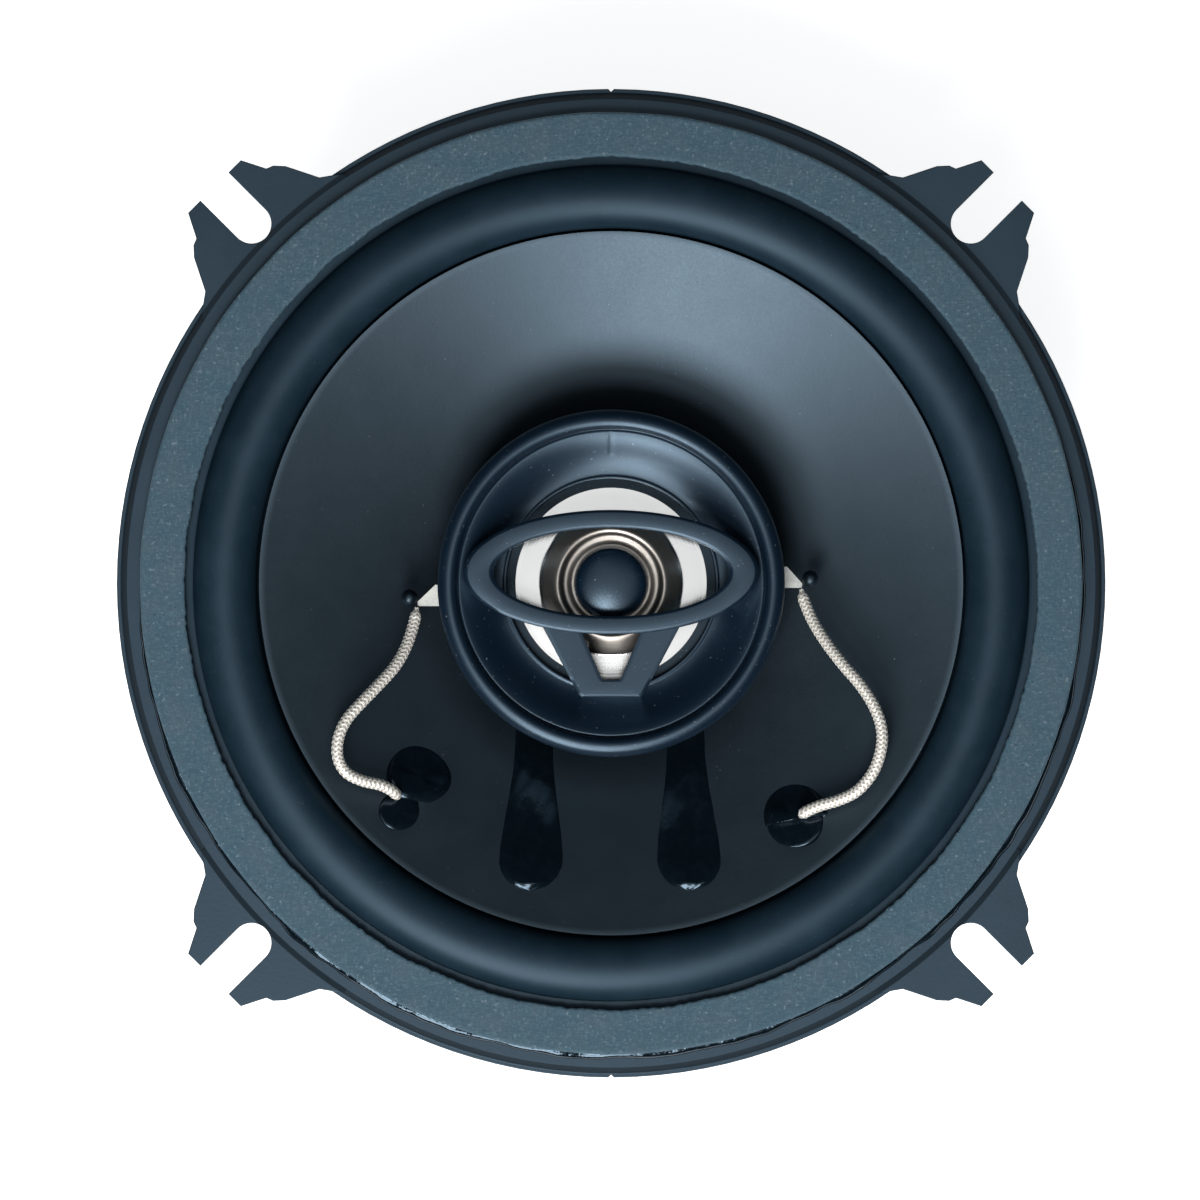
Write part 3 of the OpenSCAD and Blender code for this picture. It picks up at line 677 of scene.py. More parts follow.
@dataclass(frozen=True)
class Plastic(Finish):
    """Moulded black plastic with a spark-eroded texture."""

    dark: Colour = (0.002, 0.007, 0.0155)
    pale: Colour = (0.0035, 0.0095, 0.0195)
    gloss: float = 0.28
    texture: float = 0.006

    def sockets(self, r: Recipe) -> dict[str, Any]:
        """What feeds the shader."""
        cloud = r.noise(5.0, 3.0)
        grain = r.noise(0.2, 2.0, 0.6)
        dust = r.noise(0.3, 0.0).ramp(0.8, 0.86)
        return dict(
            Base_Color=r.mix(dust * 0.5, r.mix(cloud, self.dark, self.pale), (0.2, 0.22, 0.25)),
            Roughness=grain * 0.1 + cloud * 0.06 + self.gloss,
            Normal=r.bump(grain, self.texture), IOR=1.6, Specular_Tint=COOL)


@dataclass(frozen=True)
class Film(Finish):
    """Thin metal-coated film: a bright mirror with shallow pressing rings."""

    bright: Colour = (0.7, 0.7, 0.69)
    warm: Colour = (0.27, 0.24, 0.21)
    rings: float = 0.42

    def sockets(self, r: Recipe) -> dict[str, Any]:
        """What feeds the shader."""
        away = r.radius()
        rings = r.waves(away, self.rings)
        inner = 1.0 - away.ramp(0.0086, 0.0096)
        cloud = r.noise(1.2, 3.0)
        return dict(
            Base_Color=r.mix(inner * (cloud * 0.3 + 0.7), self.bright, self.warm),
            Metallic=1.0,
            Roughness=cloud * 0.06 + inner * 0.17 + 0.17,
            Normal=r.bump(rings, 0.0012))


@dataclass(frozen=True)
class SpiderCloth(Finish):
    """Woven cotton stiffened with resin, in ochre threads."""

    thread: float = 0.42
    pale: Colour = (0.42, 0.3, 0.1)
    dark: Colour = (0.17, 0.105, 0.03)

    def sockets(self, r: Recipe) -> dict[str, Any]:
        """What feeds the shader."""
        x, y, _ = r.axes()
        warp, weft = r.waves(x, self.thread), r.waves(y, self.thread)
        weave = warp * weft + (1.0 - warp) * (1.0 - weft)
        cloud = r.noise(3.0, 4.0)
        return dict(
            Base_Color=r.mix(weave * (cloud * 0.5 + 0.6), self.dark, self.pale),
            Roughness=cloud * 0.2 + 0.6,
            Normal=r.bump(weave, 0.05))


@dataclass(frozen=True)
class Tinsel(Finish):
    """Silvered copper tinsel braided over a core, duller in its hollows."""

    bright: Colour = (0.97, 0.95, 0.9)
    warm: Colour = (0.33, 0.28, 0.22)

    def sockets(self, r: Recipe) -> dict[str, Any]:
        """What feeds the shader."""
        strand = r.noise(0.16, 2.0, 0.6)
        cloud = r.noise(0.9, 2.0)
        weave = r.node("ShaderNodeAttribute", {"attribute_name": "weave"}, {}, "Fac")
        hollow = 1.0 - weave.ramp(0.55, 0.97)
        return dict(
            Base_Color=r.mix(hollow * 0.8 + strand.ramp(0.45, 0.75) * cloud * 0.15, self.bright, self.warm),
            Metallic=0.25,
            Roughness=strand * 0.2 + 0.3,
            Normal=r.bump(strand, 0.02))


@dataclass(frozen=True)
class Grained(Finish):
    """A matt material told apart by two tints and a grain size: laminate, sleeve, kraft paper or magnet."""

    dark: Colour
    pale: Colour
    grain: float = 0.3
    gloss: float = 0.5
    depth: float = 0.015
    metal: float = 0.0

    def sockets(self, r: Recipe) -> dict[str, Any]:
        """What feeds the shader."""
        fine = r.noise(self.grain, 3.0, 0.6)
        cloud = r.noise(self.grain * 12, 3.0)
        return dict(
            Base_Color=r.mix(fine.ramp(0.3, 0.7) * 0.6 + cloud * 0.4, self.dark, self.pale),
            Metallic=self.metal,
            Roughness=cloud * 0.12 + fine * 0.08 + self.gloss,
            Normal=r.bump(fine, self.depth))


@dataclass(frozen=True)
class Winding(Finish):
    """Enamelled copper wire wound in close turns."""

    wire: float = 0.28
    bright: Colour = (0.72, 0.3, 0.11)
    dark: Colour = (0.3, 0.09, 0.03)

    def sockets(self, r: Recipe) -> dict[str, Any]:
        """What feeds the shader."""
        turns = r.waves(r.axes()[2], self.wire)
        cloud = r.noise(1.5, 2.0)
        return dict(
            Base_Color=r.mix(turns * 0.7 + cloud * 0.3, self.dark, self.bright),
            Metallic=0.85,
            Roughness=cloud * 0.15 + 0.25,
            Normal=r.bump(turns, 0.05))


def dress(piece: bpy.types.Object, finish: bpy.types.Material) -> bpy.types.Object:
    """Gives a piece one material all over.

    Args:
        piece: The piece.
        finish: Its material.

    Returns:
        The piece.
    """
    piece.data.materials.clear()
    piece.data.materials.append(finish)
    return piece


def dress_parts(nodes: dict[str, bpy.types.Object], finish: bpy.types.Material, *names: str) -> None:
    """Gives one material to parts that keep their frame meshes.

    Args:
        nodes: The frame's parts by name.
        finish: The material.
        names: The parts.
    """
    for name in names:
        dress(nodes[name], finish)
    LOG.info("%s on %s", finish.name, ", ".join(names))


def stand_in(piece: bpy.types.Object, node: str, finish: bpy.types.Material,
             body: str | None = None) -> bpy.types.Object:
    """Dresses a piece and shows it in place of one of the frame's parts.

    Args:
        piece: The piece.
        node: The part that it replaces.
        finish: Its material.
        body: The body that it rides on, or None for a piece that flexes between two.

    Returns:
        The piece.
    """
    dress(piece, finish)
    if body:
        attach(piece, body)
    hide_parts(node)
    LOG.info("%s for %s", piece.name, node)
    return piece


# ---------------------------------------------------------------- stage


@dataclass
class Studio:
    """A pale floor, soft lamps and the camera that looks down the sounding axis."""

    frame_width: float = 157.9
    distance: float = 1000.0
    aim: tuple[float, float] = (-1.46, -2.2)
    floor_z: float = -47.6
    floor_light: float = 0.85
    room: Colour = (0.4, 0.78, 1.0)
    room_light: float = 0.045

    def floor(self) -> None:
        """A wide pale floor under the magnet, slightly luminous as a lit paper sweep is."""
        half = 2500.0
        grid = np.stack(np.meshgrid([-half, half], [-half, half], [self.floor_z], indexing="ij"), -1)
        piece = Skin().add(grid[:, :, 0]).build("floor")
        r = Recipe("pale floor")
        cloud = r.noise(300.0, 2.0)
        tint = r.mix(cloud, (0.8, 0.8, 0.8), (0.84, 0.84, 0.84))
        dress(piece, r.finish(
            Base_Color=tint, Roughness=0.9, Emission_Color=WHITE, Emission_Strength=self.floor_light))
        piece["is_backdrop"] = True

    def lamp(self, name: str, polar: float, turn: float, away: float, width: float, height: float,
             watts: float) -> None:
        """An area lamp aimed at the origin.

        Args:
            name: Name of the lamp.
            polar: Angle from the sounding axis, in degrees.
            turn: Direction round the axis, in degrees from +X.
            away: Distance in millimetres.
            width: Width in millimetres.
            height: Height in millimetres.
            watts: Power.
        """
        light = bpy.data.lights.new(name, "AREA")
        light.shape = "RECTANGLE"
        light.size, light.size_y = width * MM, height * MM
        light.energy = watts
        lamp = bpy.data.objects.new(name, light)
        p, t = np.radians(polar), np.radians(turn)
        way = np.array([np.sin(p) * np.cos(t), np.sin(p) * np.sin(t), np.cos(p)])
        lamp.location = tuple(way * away * MM)
        lamp.rotation_euler = (0.0, p, t)
        bpy.context.scene.collection.objects.link(lamp)

    def lamps(self) -> None:
        """A large soft key from below left, a smaller one above it and a wide weak one over the front."""
        self.lamp("key softbox", 46.0, 255.0, 900.0, 440.0, 460.0, 9.0)
        self.lamp("middle softbox", 22.0, 255.0, 1100.0, 260.0, 300.0, 4.2)
        self.lamp("front softbox", 4.0, 250.0, 1300.0, 950.0, 950.0, 2.9)

    def backdrop(self) -> None:
        """A dim even surround."""
        world = bpy.data.worlds.new("dim room")
        world.use_nodes = True
        light = world.node_tree.nodes["Background"].inputs
        light["Color"].default_value = (*self.room, 1.0)
        light["Strength"].default_value = self.room_light
        bpy.context.scene.world = world
        bpy.context.scene.view_settings.view_transform = "Standard"

    def camera(self) -> None:
        """A long lens straight above the front, framed as wide as frame_width at the flange."""
        data = bpy.data.cameras.new("camera")
        data.sensor_width = 36.0
        data.lens = 36.0 * self.distance / self.frame_width
        data.clip_start, data.clip_end = 0.01, 20.0
        eye = bpy.data.objects.new("camera", data)
        eye.location = (self.aim[0] * MM, self.aim[1] * MM, self.distance * MM)
        bpy.context.scene.collection.objects.link(eye)
        bpy.context.scene.camera = eye

    def build(self) -> None:
        """Sets up the whole stage."""
        self.camera()
        self.floor()
        self.lamps()
        self.backdrop()
        LOG.info("stage, lamps and camera")


# ---------------------------------------------------------------- the speaker


@dataclass
class ConeShape:
    """The cone's front surface, which the glue and the surround's lip follow."""

    neck_r: float = 12.75
    edge_r: float = 46.2
    neck_z: float = -16.5
    edge_z: float = 2.6
    bow: float = 0.75
    glue_sunk: float = 0.12

    def height(self, r: np.ndarray) -> np.ndarray:
        """Height of the front: the neck's plus the rise times the share of the way out, to the power of bow."""
        share = np.clip((r - self.neck_r) / (self.edge_r - self.neck_r), 0.0, None)
        return self.neck_z + (self.edge_z - self.neck_z) * share**self.bow

    def over(self, x: np.ndarray, y: np.ndarray, up: np.ndarray) -> np.ndarray:
        """Points that stand up above the front at x and y."""
        return np.stack([x, y, self.height(np.hypot(x, y)) + up], -1)

    def pad(self, x: np.ndarray, y: np.ndarray, up: np.ndarray) -> np.ndarray:
        """A pad of glue on the front: its top, then its underside sunk in the paper, as one grid.

        Args:
            x: Places across.
            y: Places along.
            up: Height of the top above the front.

        Returns:
            Grid of points.
        """
        x, y, up = np.broadcast_arrays(x, y, up)
        under = self.over(x, y, np.full_like(x, -self.glue_sunk))
        return np.concatenate([self.over(x, y, up), under[:, ::-1]], 1)


@dataclass
class Lead:
    """One braided tinsel lead, as a free cord between two soldered or glued ends."""

    name: str
    route: Route
    node: str
    diameter: float = 1.6
    strands: int = 5
    around: int = 30
    relief: float = 0.21
    core: float = 0.38
    pitch: float = 0.62
    step: float = 0.085
    bare: float = 1.2
    upright: tuple[float, float, float] = (0.0, 0.0, 1.0)
    shortest_cord: float = 30.0

    def path(self) -> np.ndarray:
        """The centre line at even steps."""
        rough = smooth_line(self.route, 400)
        length = np.linalg.norm(np.diff(rough, axis=0), axis=1).sum()
        return even_steps(rough, int(length / self.step))

    def rings(self, path: np.ndarray) -> tuple[np.ndarray, np.ndarray]:
        """The braid's surface round the path.

        The radius at angle a and length s is the larger of two ridges, one running
        round each way: the size of sine of (strands a + k s) / 2 and of
        (strands a - k s) / 2, each raised where it crosses over the other.

        Args:
            path: Centre line.

        Returns:
            Points, ring by place by 3, and how high on a strand each one is, from 0 to 1.
        """
        along = np.gradient(path, axis=0)
        along /= np.linalg.norm(along, axis=1)[:, None]
        side = np.cross(along, self.upright)
        side /= np.linalg.norm(side, axis=1)[:, None]
        other = np.cross(along, side)
        s = (np.arange(len(path)) * self.step)[:, None]
        a = np.linspace(0.0, TAU, self.around, endpoint=False)[None, :]
        k = TAU / self.pitch
        one = np.abs(np.sin((self.strands * a + k * s) / 2))
        two = np.abs(np.sin((self.strands * a - k * s) / 2))
        over = 0.5 + 0.5 * np.sin(self.strands * a)
        weave = np.maximum(one**0.8 * (0.72 + 0.28 * over), two**0.8 * (1.0 - 0.28 * over))
        r = self.diameter / 2 * (1.0 - self.relief + self.relief * weave)
        total = s[-1, 0]
        bare = smoothstep(s, 0.0, self.bare) * smoothstep(total - s, 0.2, 1.5)
        r = r * (self.core + (1.0 - self.core) * bare)
        ring = side[:, None] * np.cos(a)[..., None] + other[:, None] * np.sin(a)[..., None]
        return path[:, None] + ring * r[..., None], weave

    def build(self, finish: bpy.types.Material) -> bpy.types.Object:
        """Makes the lead and dresses it in place of its frame part.

        Args:
            finish: Its material.

        Returns:
            The lead.
        """
        path = self.path()
        rings, weave = self.rings(path)
        skin = Skin(weave=np.concatenate([weave[:1], weave, weave[-1:]]))
        piece = skin.add_tube(rings).build(self.name)
        length = float(np.linalg.norm(np.diff(path, axis=0), axis=1).sum())
        if length >= self.shortest_cord:
            self.diameter * MM
        return stand_in(piece, self.node, finish)


def follow(piece: bpy.types.Object, weights: np.ndarray) -> None:
    """Bakes a flexing piece's transform into its mesh; it bends nothing.

    A ring flexes with its radius and a lead with its length, so its weights are put in
    place of those.

    Args:
        piece: The piece, with its mesh finished.
        weights: Not used.
    """
    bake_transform(piece)


def places(piece: bpy.types.Object) -> np.ndarray:
    """The piece's points in millimetres."""
    flat = np.zeros(len(piece.data.vertices) * 3)
    piece.data.vertices.foreach_get("co", flat)
    return flat.reshape(-1, 3) / MM


def follow_ring(piece: bpy.types.Object, inner: float, outer: float, second: str = "cone_assembly") -> None:
    """Works out a ring's weights from its radius, 1 inside one radius and 0 outside the other, and hands them to
    follow, which bends nothing.

    Args:
        piece: The ring.
        inner: Radius up to which its weight is 1.
        outer: Radius from which its weight is 0.
        second: Not used.
    """
    at = places(piece)
    follow(piece, 1.0 - smoothstep(np.hypot(at[:, 0], at[:, 1]), inner, outer))


@dataclass
class Leads:
    """The six flexible leads: two in front to the tweeter, four behind to the terminals."""

    left: Route = (
        (-25.6, -3.2, -2.0), (-26.0, -5.4, -1.6), (-27.0, -8.4, -0.4), (-28.4, -10.9, 0.8), (-30.5, -13.3, 2.0),
        (-32.6, -15.5, 3.0), (-34.6, -17.8, 3.7), (-35.7, -20.2, 4.1), (-35.8, -22.8, 4.1), (-34.7, -24.8, 3.8),
        (-32.6, -25.9, 3.2), (-30.2, -26.5, 2.5), (-28.7, -27.3, 1.8), (-28.1, -28.0, 1.0), (-28.0, -28.2, 0.2))
    right: Route = (
        (25.1, -0.8, -2.0), (25.5, -2.4, -1.7), (26.6, -5.0, -0.8), (28.3, -7.8, 0.5), (30.4, -10.6, 1.8),
        (32.6, -13.2, 2.9), (34.4, -16.0, 3.7), (35.4, -18.8, 4.1), (35.4, -21.6, 4.2), (34.4, -24.6, 4.0),
        (32.4, -27.1, 3.5), (30.0, -28.4, 2.8), (27.4, -29.2, 2.2), (25.6, -30.0, 1.5), (25.0, -30.5, 0.8),
        (24.9, -30.6, 0.1))
    coil: Route = (
        (9.5, -38.5, -1.7), (9.5, -38.6, -3.6), (9.8, -39.2, -5.8), (10.4, -40.6, -7.8), (11.2, -42.6, -9.2),
        (11.9, -44.8, -10.0), (12.4, -46.6, -11.0), (12.6, -47.6, -12.6), (12.6, -48.4, -14.0))
    tweeter: Route = (
        (26.0, -26.5, -2.9), (26.0, -26.8, -5.0), (25.4, -28.2, -7.4), (23.8, -30.8, -9.6), (21.4, -34.0, -11.4),
        (18.4, -37.2, -13.0), (15.4, -40.2, -14.4), (13.2, -42.2, -15.6), (12.6, -43.0, -16.6),
        (12.6, -43.9, -17.7))

    def mirrored(self, route: Route) -> Route:
        """The same route on the other side."""
        return [(-x, y, z) for x, y, z in route]

    def flex(self, piece: bpy.types.Object, route: Route, cone_last: bool) -> None:
        """Works out each point's share of the way along a lead and hands it to follow as a weight; follow bends
        nothing.

        Each point's share is that of the nearest sample of the path.

        Args:
            piece: The lead.
            route: Its route.
            cone_last: Whether its last end, and not its first, is fixed to the cone.
        """
        line = smooth_line(route, 240)
        gap = np.linalg.norm(places(piece)[:, None] - line[None], axis=2)
        share = gap.argmin(1) / (len(line) - 1)
        share = smoothstep(share, 0.05, 0.92)
        follow(piece, share if cone_last else 1.0 - share)

    def build(self) -> None:
        """Makes all six leads."""
        tinsel = Tinsel("braided tinsel").material()
        ends = [("front_lead_left", self.left, True), ("front_lead_right", self.right, True)]
        for kind, route in (("coil", self.coil), ("tweeter", self.tweeter)):
            ends += [(f"{kind}_lead_left", self.mirrored(route), False), (f"{kind}_lead_right", route, False)]
        for name, route, front in ends:
            upright = (0.0, 0.0, 1.0) if front else (1.0, 0.0, 0.0)
            lead = Lead(f"{name}_braid", route, name, bare=1.2 if front else 0.3, upright=upright)
            self.flex(lead.build(tinsel), route, front)


@dataclass
class Basket:
    """The pressed basket, its rivets, the card gasket and the glue squeezed out beside it."""

    nodes: dict[str, bpy.types.Object]
    flat_degrees: float = 0.5
    bend_degrees: float = 24.0
    gasket_r: float = 61.8
    gasket_hole_r: float = 55.9
    gasket_z: float = 2.2
    gasket_t: float = 2.0
    glue_foot: float = 1.68
    glue_from: float = 178.0
    glue_to: float = 382.0
    glue_heaps: tuple[tuple[float, float, float], ...] = ((262.0, 46.0, 0.35), (322.0, 14.0, 0.3))

    def pressing(self) -> None:
        """The basket's frame mesh, welded, with its bends kept sharp."""
        source = self.nodes["basket"]
        piece = bpy.data.objects.new("basket_pressing", source.data.copy())
        bpy.context.scene.collection.objects.link(piece)
        if "custom_normal" in piece.data.attributes:
            piece.data.attributes.remove(piece.data.attributes["custom_normal"])
        work = bmesh.new()
        work.from_mesh(piece.data)
        bmesh.ops.remove_doubles(work, verts=work.verts, dist=1e-6)
        flat = np.radians(self.flat_degrees)
        bmesh.ops.dissolve_limit(work, angle_limit=flat, verts=work.verts, edges=work.edges)
        work.to_mesh(piece.data)
        work.free()
        piece.data.polygons.foreach_set("use_smooth", np.ones(len(piece.data.polygons), bool))
        piece.data.set_sharp_from_angle(angle=np.radians(self.bend_degrees))
        stand_in(piece, "basket", Enamel("black enamel").material(), "frame")

    def gasket(self) -> None:
        """The card ring: a rounded rectangle carried round the axis, its cut edges wandering."""
        low, high = self.gasket_z, self.gasket_z + self.gasket_t
        outline = rounded([(self.gasket_hole_r, low), (self.gasket_r, low), (self.gasket_r, high),
                           (self.gasket_hole_r, high)], 0.3, 5)
        outline = even_steps(np.vstack([outline, outline[:1]]), 57)[:-1]
        count = 1440
        grid = revolved(outline, count)
        angle = np.linspace(0.0, TAU, count, endpoint=False)[:, None]
        r = np.hypot(grid[..., 0], grid[..., 1])
        inner = 1.0 - smoothstep(r, self.gasket_hole_r + 0.1, self.gasket_hole_r + 0.8)
        outer = smoothstep(r, self.gasket_r - 0.8, self.gasket_r - 0.1)
        ragged = wander(angle, 3, 5, 60) * 0.05 + wander(angle, 5, 90, 330) * 0.035
        shift = inner * ragged + outer * (wander(angle, 7, 4, 40) * 0.025 - 0.04)
        scale = 1.0 + shift / r
        grid[..., :2] *= scale[..., None]
        grid[..., 2] += smoothstep(grid[..., 2], low, high) * (wander(angle, 11, 3, 24) * 0.035 - 0.06)
        piece = Skin().add(grid, True, True).build("gasket_card", 70.0)
        stand_in(piece, "gasket", Card("gasket card").material(), "frame")

    def glue(self) -> None:
        """The squeezed-out bead: a quarter ellipse whose width and height wander with the angle.

        Each heap is a direction in degrees, its spread and how much it adds.
        """
        count = 900
        turn = np.radians(np.linspace(self.glue_from, self.glue_to, count))[:, None]
        share = np.linspace(0.0, 1.0, count)[:, None]
        lumps = wander(turn, 21, 6, 34) * 0.14 + wander(turn, 23, 40, 110) * 0.06
        strong = 0.7 + sum(extra * np.exp(-(((np.degrees(turn) - at) / spread) ** 2))
                           for at, spread, extra in self.glue_heaps)
        fade = smoothstep(share, 0.0, 0.05) * smoothstep(1.0 - share, 0.0, 0.05)
        width = np.clip((0.86 + lumps) * strong, 0.45, 1.0) * fade + 0.03
        height = np.clip((0.9 + wander(turn, 29, 8, 50) * 0.1) * strong, 0.5, 1.1) * fade + 0.03
        a = np.linspace(0.0, np.pi / 2, 12)[None, :]
        r = self.gasket_r - 0.12 + width * np.cos(a) ** 0.8
        z = self.glue_foot + height * np.sin(a) ** 0.9 * 1.15
        r = np.concatenate([r, np.full((count, 1), self.gasket_r - 0.2)], 1)
        z = np.concatenate([z, np.full((count, 1), self.glue_foot)], 1)
        rings = np.stack([r * np.cos(turn), r * np.sin(turn), z], -1)
        finish = Glue("gasket adhesive", gloss=0.08, wrinkle=0.09).material()
        piece = Skin().add_tube(rings).build("gasket_squeeze_out", 60.0)
        stand_in(piece, "gasket_adhesive", finish, "frame")

    def build(self) -> None:
        """Makes and dresses the basket's pieces."""
        self.pressing()
        self.gasket()
        self.glue()
        steel = Plating("rivet steel", (0.3, 0.31, 0.32), (0.15, 0.15, 0.16))
        dress_parts(self.nodes, steel.material(), "basket_rivets")


@dataclass(frozen=True)
class Dome:
    """A glue dome on the cone: height is high times (1 - rho^square)^0.6 over an egg-shaped foot.

    With a cut it is a hood: its height also grows from its upper edge down to the cut,
    a share of the half width, and drops there to the cone.
    """

    centre: tuple[float, float]
    radii: tuple[float, float]
    turn: float
    high: float
    square: float = 2.0
    egg: float = 0.0
    cut: float | None = None

    def grid(self, shape: ConeShape) -> np.ndarray:
        """The dome's points, place round the foot by place across it.

        Args:
            shape: The cone that it lies on.

        Returns:
            Grid of points.
        """
        rho = np.linspace(0.0, 1.0, 40)[None, :] ** 0.7
        a = np.linspace(0.0, TAU, 144, endpoint=False)[:, None]
        u, v = rho * np.cos(a), rho * np.sin(a)
        up = self.high * (1.0 - rho**self.square) ** 0.6
        if self.cut is not None:
            sloped = 1.0 - 0.85 * smoothstep(v, self.cut, 1.0)
            up = up * sloped * smoothstep(v, self.cut - 0.05, self.cut + 0.03)
        up = up * (1.0 + 0.08 * wander(a, int(abs(self.centre[0]) * 10), 2, 7) * rho)
        c, s = np.cos(np.radians(self.turn)), np.sin(np.radians(self.turn))
        along, across = u * self.radii[0], v * self.radii[1] * (1.0 - self.egg * u)
        x, y = self.centre[0] + along * c - across * s, self.centre[1] + along * s + across * c
        return shape.pad(x, y, up - 0.04)


@dataclass
class ConeSet:
    """The cone, its rubber surround, the spider, and the glue that holds the wires."""

    nodes: dict[str, bpy.types.Object]
    shape: ConeShape = field(default_factory=ConeShape)
    thickness: float = 0.6
    flat_z: float = 1.95
    flat_r: float = 61.3
    roll_r: float = 50.75
    roll_half: float = 3.9
    roll_height: float = 3.3
    rubber: float = 0.5
    cloth: float = 0.4
    lip_r: float = 42.5
    spider_z: float = -20.3
    spider_r: float = 37.6
    spider_flat: float = 31.6
    spider_bend: float = 29.8
    spider_neck: float = 14.25
    waves: int = 5
    run_top: float = -19.5
    run_length: float = 20.9
    dents: tuple[tuple[float, float, float, float], ...] = ((-28.0, -29.8, 6.5, 0.18), (24.6, -31.6, 9.0, 0.15))
    domes: tuple[Dome, ...] = (
        Dome((-25.3, -25.4), (4.3, 3.8), -16.0, 1.5, square=5.0, egg=0.12, cut=-0.86),
        Dome((-27.9, -29.95), (2.65, 2.5), -12.0, 0.3, square=9.0),
        Dome((24.3, -30.6), (4.2, 4.15), 11.0, 1.5, square=5.0, cut=-0.12),
        Dome((24.2, -31.4), (3.7, 3.3), 11.0, 0.3, square=9.0))

    def cone(self) -> None:
        """The paper cone: its front and rear lines carried round the axis, dented under the eyelets' glue."""
        r = self.shape.neck_r + (self.shape.edge_r - self.shape.neck_r) * np.linspace(0.0, 1.0, 90) ** 1.15
        front = np.stack([r, self.shape.height(r)], -1)
        front[-1, 1] -= 0.12
        rear = front[::-1] - (0.0, self.thickness)
        nose = np.array([[self.shape.edge_r + 0.07, self.shape.edge_z - 0.34]])
        grid = revolved(np.vstack([front, nose, rear]), 512)
        x, y = grid[..., 0], grid[..., 1]
        for at_x, at_y, spread, depth in self.dents:
            grid[..., 2] -= depth * np.exp(-(((x - at_x) ** 2 + (y - at_y) ** 2) / spread) ** 2)
        piece = Skin().add(grid, True, True).build("paper_cone", 60.0)
        stand_in(piece, "cone", ConePaper("coated cone paper").material(), "cone_assembly")

    def surround(self) -> None:
        """The rubber roll: flat, half ellipse and glued lip in one line, given its thickness."""
        roll = arc((self.roll_r, self.flat_z), (self.roll_half, self.roll_height), 2.0, 180.0, 60)
        trough = np.array([[46.84, 1.2], [46.76, 0.5], [46.4, 0.3]])
        r = np.linspace(self.shape.edge_r - 0.35, self.lip_r, 12)
        lip = np.stack([r, self.shape.height(r) - self.thickness - self.rubber / 2], -1)
        outer = np.array([[self.flat_r, self.flat_z], [58.0, self.flat_z], [55.6, self.flat_z],
                          [55.0, self.flat_z + 0.04]])
        line = even_steps(np.vstack([outer, roll, trough, lip]), 190)
        smooth = line.copy()
        smooth[2:-2] = (line[:-4] + 2 * line[1:-3] + 3 * line[2:-2] + 2 * line[3:-1] + line[4:]) / 9.0
        piece = Skin().add_turned(sheet_outline(smooth, self.rubber), 512).build("rubber_surround", 60.0)
        stand_in(piece, "surround", Rubber("butyl rubber").material())
        follow_ring(piece, self.roll_r - self.roll_half, self.roll_r + self.roll_half)

    def spider(self) -> None:
        """The corrugated cloth ring: a flat rim, then sines between the ledge and the former."""
        t = np.linspace(0.0, 1.0, 220)
        bend = 0.5 / self.waves
        r = np.where(t < bend, self.spider_flat + (self.spider_bend - self.spider_flat) * t / bend,
                     self.spider_bend + (self.spider_neck - self.spider_bend) * (t - bend) / (1 - bend))
        z = self.spider_z + 0.8 * np.sin(TAU * self.waves * t)
        line = np.vstack([[self.spider_r, self.spider_z], [34.0, self.spider_z], np.stack([r, z], -1),
                          [13.25, self.spider_z]])
        outline = sheet_outline(even_steps(line, 240), self.cloth)
        piece = Skin().add_turned(outline, 240).build("spider_cloth_ring", 60.0)
        stand_in(piece, "spider", SpiderCloth("resined cloth").material())
        follow_ring(piece, self.spider_neck, self.spider_flat)

    def wire_glue(self, skin: Skin, side: int) -> None:
        """The glue run over one coil wire, from under the pod to a rounded drop.

        The run's half width grows from 2.55 to 4.2 down its length, and its height is a
        low arch with a valley down its middle and a fuller drop at its end.

        Args:
            skin: Skin that it is added to.
            side: 1 or -1.
        """
        v = np.linspace(0.0, 1.0, 90)[:, None]
        u = np.sin(np.linspace(-np.pi / 2, np.pi / 2, 36))[None, :]
        y = self.run_top - self.run_length * v
        half = 2.55 + 1.65 * smoothstep(v, 0.1, 0.85)
        half = half * np.sqrt(np.clip(1.0 - ((v - 0.8) / 0.2).clip(0) ** 2, 0.0, 1.0))
        middle = side * (10.0 + 0.5 * v) - 0.15
        x = middle + u * (half + 0.02)
        arch = (1.0 - np.abs(u) ** 2.6) ** 0.7
        valley = 0.14 * np.exp(-((u - 0.25 * side) / 0.28) ** 2) * smoothstep(v, 0.3, 0.6)
        end = smoothstep(1.0 - v, 0.0, 0.05)
        up = (0.24 + 0.6 * smoothstep(v, 0.55, 0.92) - valley) * arch * (0.2 + 0.8 * end)
        up = up + 0.05 * arch * np.sin(v * 31.0 + u * 3.0) * np.sin(u * 4.0 + side)
        skin.add_tube(self.shape.pad(x, y, up - 0.03))

    def glue(self) -> None:
        """All the glue on the cone: eyelet hoods and lenses, wire runs, and the ring at the neck."""
        finish = Glue("cone adhesive", gloss=0.14, wrinkle=0.012).material()
        eyelets = Skin()
        for dome in self.domes:
            eyelets.add(dome.grid(self.shape), True, False)
        beads = Skin()
        self.wire_glue(beads, 1)
        self.wire_glue(beads, -1)
        ring = rounded([(12.74, -16.6), (14.25, -14.7), (14.1, -14.55), (12.74, -14.2)], 0.4)
        neck = Skin().add_turned(ring, 180)
        for skin, name, node in (
                (eyelets, "eyelet_glue", "lead_eyelets"), (beads, "wire_glue", "coil_lead_beads"),
                (neck, "neck_glue", "neck_adhesive")):
            stand_in(skin.build(name, 60.0), node, finish, "cone_assembly")

